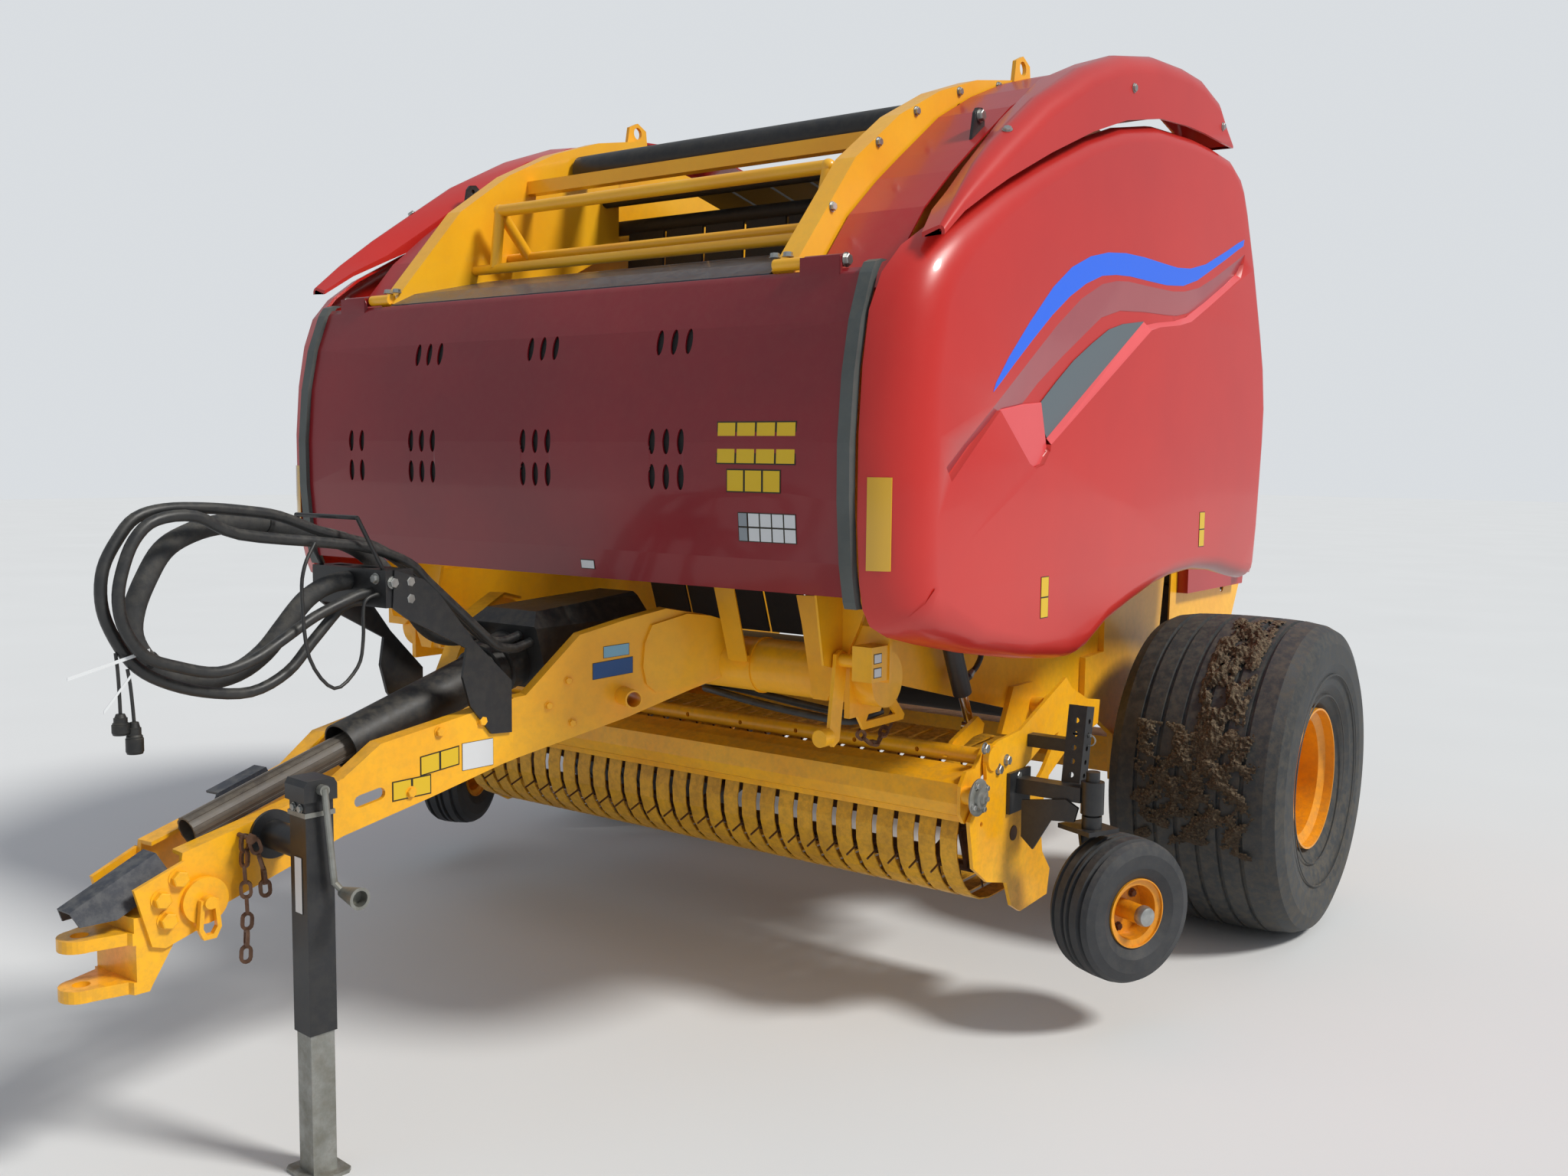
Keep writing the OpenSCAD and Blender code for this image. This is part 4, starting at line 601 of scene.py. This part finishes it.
for side, name in SIDES:
    body = f"side_door_{name}"
    wall = strip_between(wall_top, wall_foot, DOOR_X, FLOOR_X, side)
    ledge = strip_between(ledge_in, ledge_top, FLOOR_X, DOOR_X, side)
    sill = strip_between(sill_in, sill_top, FLOOR_X, DOOR_X, side)
    chin = slab(on_plane(side * FLOOR_X, chin_edge), (side * 6, 0, 0))
    grille = slab(on_plane(side * FLOOR_X, grille_edge), (side * 2, 0, 0))
    piece(f"pocket_wall_{name}", wall, body, pocket_red_painted_shade, smooth=True)
    piece(f"pocket_ledge_{name}", ledge, body, ledge_red_painted_highlight, smooth=True)
    piece(f"pocket_sill_{name}", sill, body, ledge_red_painted_highlight)
    piece(f"pocket_chin_{name}", chin, body, ledge_red_painted_highlight, bevel=4)
    piece(f"pocket_grille_{name}", grille, body, mesh_grey)
    stripe = slab(on_plane(side * DOOR_X, stripe_top + stripe_low[:0:-1]), (side * 0.6, 0, 0))
    piece(f"blue_stripe_{name}", stripe, body, blue_vinyl)
print("door pieces:", sum("pocket" in n or "stripe" in n for n in made))

# %% [markdown]
# ## Plain decals
# Thin vinyl plates lie on the doors, the shield and the tongue. Each is a dark border with plain cells.
# The right side is out of sight in the photograph, so its plates and stripe mirror the left side's.
# A decal is drawn in a flat grid (u, v) and laid on a face by two direction vectors.

# %% Decal helper
DECAL_LIFT = 0.7

def decal(name, corner, along, upward, cells, body, cell_finish, gap=3):
    a, b = Vector(along), Vector(upward)
    out = a.cross(b).normalized()
    w, h = a.length, b.length
    a.normalize()
    b.normalize()
    c = Vector(corner)
    def quad(u0, v0, u1, v1, height):
        corners = ((u0, v0), (u1, v0), (u1, v1), (u0, v1))
        foot = [tuple(c + a * u + b * v + out * (height - DECAL_LIFT)) for u, v in corners]
        return slab(foot, tuple(out * DECAL_LIFT))
    piece(name + "_back", quad(0, 0, w, h, DECAL_LIFT), body, ink)
    cols, rows = cells
    parts = []
    for i in range(cols):
        for j in range(rows):
            u0, u1 = i * w / cols + gap, (i + 1) * w / cols - gap
            v0, v1 = j * h / rows + gap, (j + 1) * h / rows - gap
            parts.append(quad(u0, v0, u1, v1, DECAL_LIFT * 1.6))
    piece(name, joined(parts), body, cell_finish)

# %% [markdown]
# The front shield is a slightly curved sheet, so each decal is laid along the sheet's own slope.

# %% Decals on the shield
shield_profile = [(-1937, 1185), (-1950, 1260), (-1962, 1400), (-1963, 1530), (-1950, 1680), (-1925, 1800),
    (-1885, 1905), (-1872, 1921)]

def shield_y(z):
    for (y0, z0), (y1, z1) in zip(shield_profile, shield_profile[1:]):
        if z0 <= z <= z1:
            return y0 + (y1 - y0) * (z - z0) / (z1 - z0)
    return shield_profile[-1][0]

def shield_decal(name, x0, x1, z0, z1, cells, finish, gap=3):
    y0, y1 = shield_y(z0), shield_y(z1)
    decal(name, (x0, y0 - 0.5, z0), (x1 - x0, 0, 0), (0, y1 - y0, z1 - z0), cells, "shield", finish, gap)

shield_decal("shield_decal_upper", 611, 841, 1479, 1578, (4, 2), yellow_vinyl)
shield_decal("shield_decal_lower", 642, 800, 1414, 1468, (3, 1), yellow_vinyl)
shield_decal("shield_decal_grey", 674, 702, 1300, 1368, (1, 2), grey_vinyl, 2)
shield_decal("shield_decal_white", 703, 841, 1300, 1368, (4, 2), white_vinyl, 2)
shield_decal("shield_decal_small", 151, 199, 1207, 1231, (1, 1), white_vinyl, 2)
print("shield decals:", [n for n in made if n.startswith("shield_decal") and "back" not in n])

# %% [markdown]
# The photograph shows the shield's vents black, as the inside behind them lies in shade. A black sheet
# behind each row of ovals is painted shade that gives the same look; a real screen there is a guess.
# It swings with the shield.

# %% Painted shade behind the vents
# Painted shade: a black sheet stands for the shade inside the shield behind the vents.
vent_shade_black = aged("black_vent_screen", "#121314", "#0D0E0F", 0.7, dust_share=0.05, grain_depth=0.3)
SHADE_SHEET_BEHIND = 7

def vent_screen(name, x0, x1, z0, z1):
    levels = [z0 + (z1 - z0) * k / 4 for k in range(5)]
    line = [(shield_y(z) + SHADE_SHEET_BEHIND, z) for z in levels]
    parts = []
    for (y0, h0), (y1, h1) in zip(line, line[1:]):
        parts.append(slab([(x0, y0, h0), (x1, y0, h0), (x1, y1, h1), (x0, y1, h1)], (0, 1.5, 0)))
    piece(name, joined(parts), "shield", vent_shade_black)

for row, (z0, z1) in enumerate(((1400, 1580), (1726, 1814))):
    for column, (x0, x1) in enumerate(((-530, -362), (-80, 88), (370, 538))):
        vent_screen(f"vent_screen_{row}_{column}", x0, x1, z0, z1)
vent_screen("vent_screen_side", -796, -672, 1400, 1580)
decal("guard_box_decal", (-44, -2045.6, 948), (88, 0, 0), (0, -14.8, 50), (1, 1), "chassis", white_vinyl, 3)
print("vent shade sheets:", sum("vent_screen" in n for n in made))

# %% [markdown]
# The tongue's two plates are bent in plan. A point on a plate is given by its distance along the run and
# its height, and one function turns it into the frame. A run is its start x and y and its turn in degrees.

# %% Points on the tongue's plates
run_front = (82, -3040, 5.38)
run_rear = (162, -2190, 24.66)

def on_run(run, out, along, z, side=1):
    a = math.radians(run[2])
    x = run[0] + out * math.cos(a) + along * math.sin(a)
    y = run[1] - out * math.sin(a) + along * math.cos(a)
    return (side * x, y, z)

def run_normal(run, side=1):
    a = math.radians(run[2])
    return Vector((side * math.cos(a), -math.sin(a), 0))

def run_decal(name, run, s0, z0, s1, z1, tall, cells, finish, gap, side):
    a, b = on_run(run, 0.4, s0, z0, side), on_run(run, 0.4, s1, z1, side)
    if side < 0:
        a, b = b, a
    along = Vector(b) - Vector(a)
    decal(name, a, along, (0, 0, tall), cells, "chassis", finish, gap)

# %% [markdown]
# Each plate on the tongue starts and ends at a point of a run. Those on the doors sit near the lower edge.

# %% Plates on the tongue and the doors
# Plate: name, run, start along and up, end along and up, height, cells, finish, border
tongue_plates = (
    ("upper", run_front, 586, 753, 694, 764, 46, (2, 1), yellow_vinyl, 3),
    ("lower", run_front, 511, 706, 615, 708, 46, (2, 1), yellow_vinyl, 3),
    ("white", run_front, 702, 747, 792, 748, 66, (1, 1), white_vinyl, 1),
    ("navy", run_rear, 206, 934, 315, 946, 42, (1, 1), navy_vinyl, 1),
    ("sky", run_rear, 235, 987, 305, 993, 30, (1, 1), sky_vinyl, 1),
)
# Plate: name, y from and to, foot, height
door_plates = (("front", -1300, -1256, 1096, 106), ("rear", -196, -150, 1228, 110))

for side, name in SIDES:
    for place, *plate in tongue_plates:
        run_decal(f"tongue_decal_{place}_{name}", *plate, side)
for side, name in SIDES:
    face = side * (DOOR_X + 0.1)
    for place, y_low, y_high, z, tall in door_plates:
        corner = (face, y_low if side > 0 else y_high, z)
        wide = (0, (y_high - y_low) * side, 0)
        body = f"side_door_{name}"
        decal(f"door_decal_{place}_{name}", corner, wide, (0, 0, tall), (1, 2), body, yellow_vinyl, 2)
print("decals:", sum("decal" in n for n in made))

# %% [markdown]
# ## Reflectors
# A tall amber reflector sits on each door's front radius. It is a thin acrylic plate, slightly curved
# with the door.

# %% Door reflectors
FRONT_RADIUS = 128
FRONT_Y = -1952
REFLECTOR_FOOT, REFLECTOR_TOP = 1250, 1455

def door_front(x):
    across = x - (DOOR_X - FRONT_RADIUS)
    if across <= 0:
        return FRONT_Y
    return FRONT_Y + FRONT_RADIUS - math.sqrt(max(FRONT_RADIUS ** 2 - across ** 2, 0))

for side, name in SIDES:
    cols = [1026 + 10 * i for i in range(6)]
    verts, faces = [], []
    for z in (REFLECTOR_FOOT, REFLECTOR_TOP):
        for x in cols:
            y = door_front(x)
            verts += [(side * x, y - 1.5, z), (side * x, y + 1, z)]
    n = len(cols)
    for i in range(n - 1):
        a, b = 2 * i, 2 * (i + 1)
        c, d = a + 2 * n, b + 2 * n
        faces += [(a, b, d, c), (a + 1, b + 1, d + 1, c + 1), (a, b, b + 1, a + 1), (c, d, d + 1, c + 1)]
    faces += [(0, 1, 1 + 2 * n, 2 * n), (2 * n - 2, 2 * n - 1, 4 * n - 1, 4 * n - 2)]
    piece(f"door_reflector_{name}", (verts, faces), f"side_door_{name}", reflector, smooth=True)
print("reflectors:", [n for n in made if "reflector" in n])

# %% [markdown]
# ## Bolts and small hardware
# Hex heads with washers hold the tongue, rack, rails and pickup together. Those on the tongue are painted
# with it, and the others are zinc plated. Each group is one mesh on one body.

# %% Hex bolts
def bolts(name, body, spots, axis, across=24, height=10, finish=None):
    piece(name, joined([hex_head(p, axis, across, height) for p in spots]), body, finish or zinc)

# Group: which run of the tongue, how far out, places along the run and up, width across, height
tongue_groups = {
    "doubler_bolts": (run_front, 0.2, [(640, 850), (560, 720), (760, 860)], 20, 8),
    "clevis_bolts": (run_front, 10.5, [(-27, 604), (-16, 560), (10, 640)], 30, 14),
    "rear_run_bolts": (run_rear, 0.2, [(142, 937), (289, 893), (152, 830), (91, 878)], 16, 7),
}
pickup_spots = [(-1240, 707), (-1363, 758), (-1285, 690), (-1180, 655)]
rail_spots = [(-1700, 2096), (-1500, 2283), (-1322, 2393), (-1100, 2488), (-880, 2548)]
# Hood screw: place, and the way it points
hood_spots = [((1090, -1463, 2278), (0.326, -0.525, 0.786)), ((1130.2, -814, 2504), (1, 0, 0)),
              ((1130.2, -120, 2532), (1, 0, 0))]

for side, name in SIDES:
    for group, (run, out, spots, across, height) in tongue_groups.items():
        heads = [on_run(run, out, along, z, side) for along, z in spots]
        bolts(f"{group}_{name}", "chassis", heads, tuple(run_normal(run, side)), across, height, yellow)
    heads = [(side * x, -1846, 1962) for x in (690, 728)]
    bolts(f"strap_bolts_{name}", "chassis", heads, (0, 0, 1), 20, 10)
    heads = [(side * 1015.2, y, z) for y, z in pickup_spots]
    bolts(f"pickup_bolts_{name}", "pickup", heads, (side, 0, 0), 22, 10)
    for k, ((x, y, z), (nx, ny, nz)) in enumerate(hood_spots):
        bolts(f"hood_screw_{k}_{name}", "chassis", [(side * x, y, z)], (side * nx, ny, nz), 18, 6)
for side, name in SIDES:
    heads = [(side * 750.3, y, z) for y, z in rail_spots]
    bolts(f"rail_bolts_{name}", "chassis", heads, (side, 0, 0), 18, 8)
    bolts(f"shield_hinge_bolt_{name}", "shield", [(side * 900.2, -1858, 1942)], (side, 0, 0), 24, 9)
    bolts(f"strut_bolt_{name}", "chassis", [(side * 944.2, -1334, 2354)], (side, 0, 0), 24, 11)
bolts("rack_bolts", "chassis", [(134.5, -2480, 1207), (134.5, -2480, 1168), (134.5, -2525, 1207)],
    (1, 0, 0), 20, 9)
bolts("rack_front_bolts", "chassis", [(-100, -2543.4, 1192), (100, -2543.4, 1215)], (0, -1, 0), 18, 8)
print("bolt groups:", sum("bolt" in n or "screw" in n for n in made))

# %% [markdown]
# ## The jack
# A galvanised band runs round the sleeve's top, with two small bolts, and a plain white plate sits on
# its front. The band is an open ring of four strips, because the jack's leg slides up through it.

# %% Jack details
JACK_OUT, JACK_ALONG = 162, 218
BAND_OUT, BAND_IN = 34, 31.5

def jack_point(out, along, z):
    return on_run(run_front, JACK_OUT + out, JACK_ALONG + along, z)

jack_axis = run_normal(run_front)
jack_side = Vector((math.sin(math.radians(run_front[2])), math.cos(math.radians(run_front[2])), 0))
# Strip: low corner x and y, high corner x and y
band_sides = [(-BAND_OUT, -BAND_OUT, BAND_OUT, -BAND_IN), (-BAND_OUT, BAND_IN, BAND_OUT, BAND_OUT),
              (-BAND_OUT, -BAND_IN, -BAND_IN, BAND_IN), (BAND_IN, -BAND_IN, BAND_OUT, BAND_IN)]
band = []
for x0, y0, x1, y1 in band_sides:
    corners = ((x0, y0), (x1, y0), (x1, y1), (x0, y1))
    band.append(slab([jack_point(x, y, 762) for x, y in corners], (0, 0, 10)))
piece("jack_cap_band", joined(band), "chassis", galvanised)
bolts("jack_cap_bolts", "chassis", [jack_point(-12, -31.5, 780), jack_point(14, -31.5, 780)],
    tuple(-jack_side), 13, 5)
decal("jack_plate_front", jack_point(-14, -31.4, 560), tuple(jack_axis * 28), (0, 0, 118), (1, 1),
    "chassis", white_vinyl, 1)
print("jack pieces:", [n for n in made if n.startswith("jack")])

# %% [markdown]
# ## Pickup: bearing flanges and gauge wheel hubs
# The wind guard's shaft ends in a grey flange bearing with four bolts. Each gauge wheel has a zinc dust cap
# and five rusted nuts. Its axle is turned outwards a little, so the hub's pieces are laid along that axle.

# %% Pickup details
BEARING_Y, BEARING_Z = -1432, 646
BEARING_BOLT_CIRCLE = 38
GAUGE_YAW = math.radians(23)
GAUGE_NUT_CIRCLE = 50
# Radius and height of each turned profile
flange_profile = [(46, 0), (48, 1), (48, 5), (44, 7), (30, 8), (28, 16), (16, 17), (14, 24), (7, 25),
    (6, 32), (2, 33)]
cap_profile = [(26, 0), (27, 2), (27, 12), (24, 22), (14, 27), (3, 28)]

for side, name in SIDES:
    out = (side, 0, 0)
    flange = turned(flange_profile, (side * 1035.2, BEARING_Y, BEARING_Z), out, 32)
    piece(f"guard_bearing_{name}", flange, "guard_arms", galvanised, smooth=True)
    ring = []
    for a in (30, 120, 210, 300):
        dy, dz = math.cos(math.radians(a)), math.sin(math.radians(a))
        ring.append((side * 1042.5, BEARING_Y + BEARING_BOLT_CIRCLE * dy,
            BEARING_Z + BEARING_BOLT_CIRCLE * dz))
    bolts(f"guard_bearing_bolts_{name}", "guard_arms", ring, out, 13, 6)
    hub = Vector((side * 1287, -1107, 331))
    wheel_axis = Vector((side * math.cos(GAUGE_YAW), -math.sin(GAUGE_YAW), 0))
    cap = turned(cap_profile, hub + wheel_axis * 80, wheel_axis, 28)
    piece(f"gauge_cap_{name}", cap, f"gauge_wheel_{name}", zinc, smooth=True)
    u, v, _ = frame_of(wheel_axis)
    spots = []
    for k in range(5):
        t = math.tau * k / 5
        spots.append(tuple(hub + wheel_axis * 5.2 + (u * math.cos(t) + v * math.sin(t)) * GAUGE_NUT_CIRCLE))
    bolts(f"gauge_nuts_{name}", f"gauge_wheel_{name}", spots, tuple(wheel_axis), 17, 9, rusty)
print("hub pieces:", [n for n in made if "bearing" in n or "gauge" in n])

# %% [markdown]
# ## Main wheels: sidewall rings
# Two thin moulded rings run round each outer sidewall.

# %% Wheel details
AXLE_Z = 500
# Radius of each ring, and where the sidewall lies there
ring_places = ((262, 1480), (330, 1500.5))

for side, name in SIDES:
    rings = []
    for r, x in ring_places:
        ridge = [(r, 0), (r + 1.5, 2.4), (r + 5, 2.4), (r + 6.5, 0)]
        verts, faces = turned(ridge, (side * x, 0, AXLE_Z), (side, 0, 0), 96)
        rings.append((verts, faces[:-2]))
    piece(f"sidewall_rings_{name}", joined(rings), f"wheel_{name}", tyre_rubber, smooth=True)
print("faces per pair of rings:", made["sidewall_rings_left"])

# %% [markdown]
# ## Mud on the tyres
# A cake of dried earth and chaff sticks to the left tyre's tread. The right tyre is out of sight in the
# photograph, and its smaller cake is a guess. A grid is wrapped round the tyre and pushed out by noise, and
# cells whose noise is low are dropped, so the edge is ragged.

# %% Mud
TREAD_RADIUS = 497

def mud_patch(name, side, x_range, a_range, nx, na, cut, peak, seed):
    offset = Vector((seed, seed * 1.7, 0))
    verts, keep, faces = [], {}, []
    for i in range(na + 1):
        a = math.radians(a_range[0] + (a_range[1] - a_range[0]) * i / na)
        for j in range(nx + 1):
            x = x_range[0] + (x_range[1] - x_range[0]) * j / nx
            p = Vector((x / 60, i / na * 9, 0)) + offset
            n = noise.fractal(p, 1.0, 2.0, 5) + noise.noise(p * 6) * 0.35
            edge = min(i, na - i) / na * 4
            side_edge = min(j, nx - j) / nx * 4
            h = (n + 0.55) * peak * min(1, edge, side_edge)
            keep[(i, j)] = h > cut
            r = TREAD_RADIUS + max(h, 0)
            verts.append((side * x, r * math.cos(a), AXLE_Z + r * math.sin(a)))
    for i in range(na):
        for j in range(nx):
            if all(keep[q] for q in ((i, j), (i + 1, j), (i, j + 1), (i + 1, j + 1))):
                k = i * (nx + 1) + j
                faces.append((k, k + 1, k + nx + 2, k + nx + 1))
    used = sorted({v for f in faces for v in f})
    index = {v: i for i, v in enumerate(used)}
    shape = [verts[v] for v in used], [tuple(index[v] for v in f) for f in faces]
    piece(name, shape, "wheel_left" if side > 0 else "wheel_right", mud)

# Patch: side, x range, angle range, cells across and round, height dropped below, peak, noise seed
mud_patch("mud_upper", 1, (1215, 1390), (92, 172), 48, 150, 3.5, 26, 3.1)
mud_patch("mud_lower", 1, (1020, 1470), (150, 204), 96, 120, 5.0, 18, 8.4)
mud_patch("mud_right", -1, (1080, 1400), (120, 180), 60, 110, 8.5, 16, 5.2)
print("mud faces:", sum(v for k, v in made.items() if k.startswith("mud")))

# %% [markdown]
# ## Held hoses and small ties
# Hydraulic lines run under the cross pipe, and one loops to each lift cylinder. They are held at both ends,
# so they are part of the machine and not free cords. The loop's far end is a guess.

# %% Hoses under the pipe and on the lift cylinder
pipe_lines = {
    "a": [(250, -1560, 858), (330, -1600, 862), (450, -1610, 850), (600, -1600, 835), (740, -1570, 825),
          (790, -1500, 850)],
    "b": [(220, -1540, 868), (330, -1575, 875), (470, -1585, 868), (620, -1570, 850), (745, -1540, 838),
          (788, -1490, 870)],
}
for letter, line in pipe_lines.items():
    piece(f"pipe_hose_{letter}", hose(line, 10), "chassis", hose_rubber, smooth=True)
for side, name in SIDES:
    port = Vector((side * 860, -1176.7, 906))
    port_axis = Vector((0, 0.901, 0.434))
    fitting = turned([(4, 0), (12, 1), (12, 12), (9, 13), (9, 26), (7, 27)], port, port_axis, 18)
    piece(f"lift_fitting_{name}", fitting, "lift_barrels", zinc)
    loop = [tuple(port + port_axis * 20), (side * 860, -1130, 928), (side * 858, -1100, 960),
        (side * 850, -1096, 1010), (side * 835, -1125, 1060), (side * 818, -1165, 1085),
        (side * 808.5, -1195, 1090)]
    piece(f"lift_hose_{name}", hose(loop, 8), "lift_barrels", hose_rubber, smooth=True)
print("held hoses:", sum("pipe_hose" in n or "lift_hose" in n for n in made))

# %% [markdown]
# Loose ends of a white cable tie stick out of the hose loop, and a ring pin holds each gauge wheel's post.

# %% Tie tails, ring pins and small plates
# Tail: start y and z, end y and z
tails = ((-3062, 1100, -3227, 1062), (-3103, 1053, -3159, 989))
for k, (y0, z0, y1, z1) in enumerate(tails):
    tail = slab([(66, y0, z0), (66, y1, z1), (66, y1, z1 + 7), (66, y0, z0 + 7)], (1.4, 0, 0))
    piece(f"tie_tail_{k}", tail, "chassis", strap_white)
for side, name in SIDES:
    pin = turned([(1, 0), (4, 1), (4, 69), (1, 70)], (side * 1122, -1103, 773), (side, 0, 0), 14)
    ring = open_ring(12, 15, 1.6, (side * 1190, -1103, 760), (0, 1, 0))
    piece(f"post_pin_{name}", joined([pin, ring]), "pickup", zinc, smooth=True)
for place, z in (("low", 978), ("high", 1012)):
    decal(f"box_plate_label_{place}", (931.1, -1764, z), (0, 34, 0), (0, 0, 24), (1, 1), "chassis",
        white_vinyl, 2)
print("new pieces in all:", len(made))

# %% [markdown]
# ## Floor, backdrop and light
# A pale floor lies under the machine, with a plain world behind it. One large soft sun stands high on the
# left side, and the world fills the shade. Levels are low enough that a colour renders about as written.

# %% Stage and light
floor_mesh = bpy.data.meshes.new("floor")
floor_mesh.from_pydata([(-40, -40, 0), (40, -40, 0), (40, 60, 0), (-40, 60, 0)], [], [(0, 1, 2, 3)])
floor = bpy.data.objects.new("floor", floor_mesh)
scene.collection.objects.link(floor)
floor_finish = bpy.data.materials.new("pale_studio_floor")
floor_finish.use_nodes = True
floor_tree = floor_finish.node_tree
floor_shader = floor_tree.nodes["Principled BSDF"]
floor_shader.inputs["Roughness"].default_value = 0.9
floor_noise = add(floor_tree, "ShaderNodeTexNoise", {"Scale": 0.8, "Detail": 2.0},
    {"Vector": add(floor_tree, "ShaderNodeTexCoord").outputs["Object"]})
floor_mix = add(floor_tree, "ShaderNodeMix",
    {"data_type": "RGBA", 6: linear("#D9DBDC"), 7: linear("#DFE1E2")}, {0: floor_noise.outputs[0]})
floor_tree.links.new(floor_mix.outputs[2], floor_shader.inputs["Base Color"])
floor.data.materials.append(floor_finish)

world = bpy.data.worlds.new("plain_sky")
scene.world = world
world.use_nodes = True
sky = world.node_tree
sky.nodes.clear()
rays = add(sky, "ShaderNodeLightPath")
seen = add(sky, "ShaderNodeMath", {"operation": "ADD", "use_clamp": True},
    {0: rays.outputs["Is Camera Ray"], 1: rays.outputs["Is Transmission Ray"]})
fill = add(sky, "ShaderNodeBackground", {"Color": linear("#E6ECF4"), "Strength": 0.5})
shown = add(sky, "ShaderNodeBackground", {"Color": linear("#E4E8EC"), "Strength": 0.9})
both = add(sky, "ShaderNodeMixShader", links={0: seen.outputs[0], 1: fill.outputs[0], 2: shown.outputs[0]})
add(sky, "ShaderNodeOutputWorld", links={0: both.outputs[0]})

sun = bpy.data.lights.new("soft_sun", "SUN")
sun.energy = 2.7
sun.angle = math.radians(12)
sun.color = (1.0, 0.97, 0.92)
sun_obj = bpy.data.objects.new("soft_sun", sun)
sun_obj.rotation_euler = Vector((1.0, 0.25, 1.05)).to_track_quat("Z", "Y").to_euler()
scene.collection.objects.link(sun_obj)

# %% [markdown]
# ## Update the scene

# %% Update the scene
bpy.context.view_layer.update()
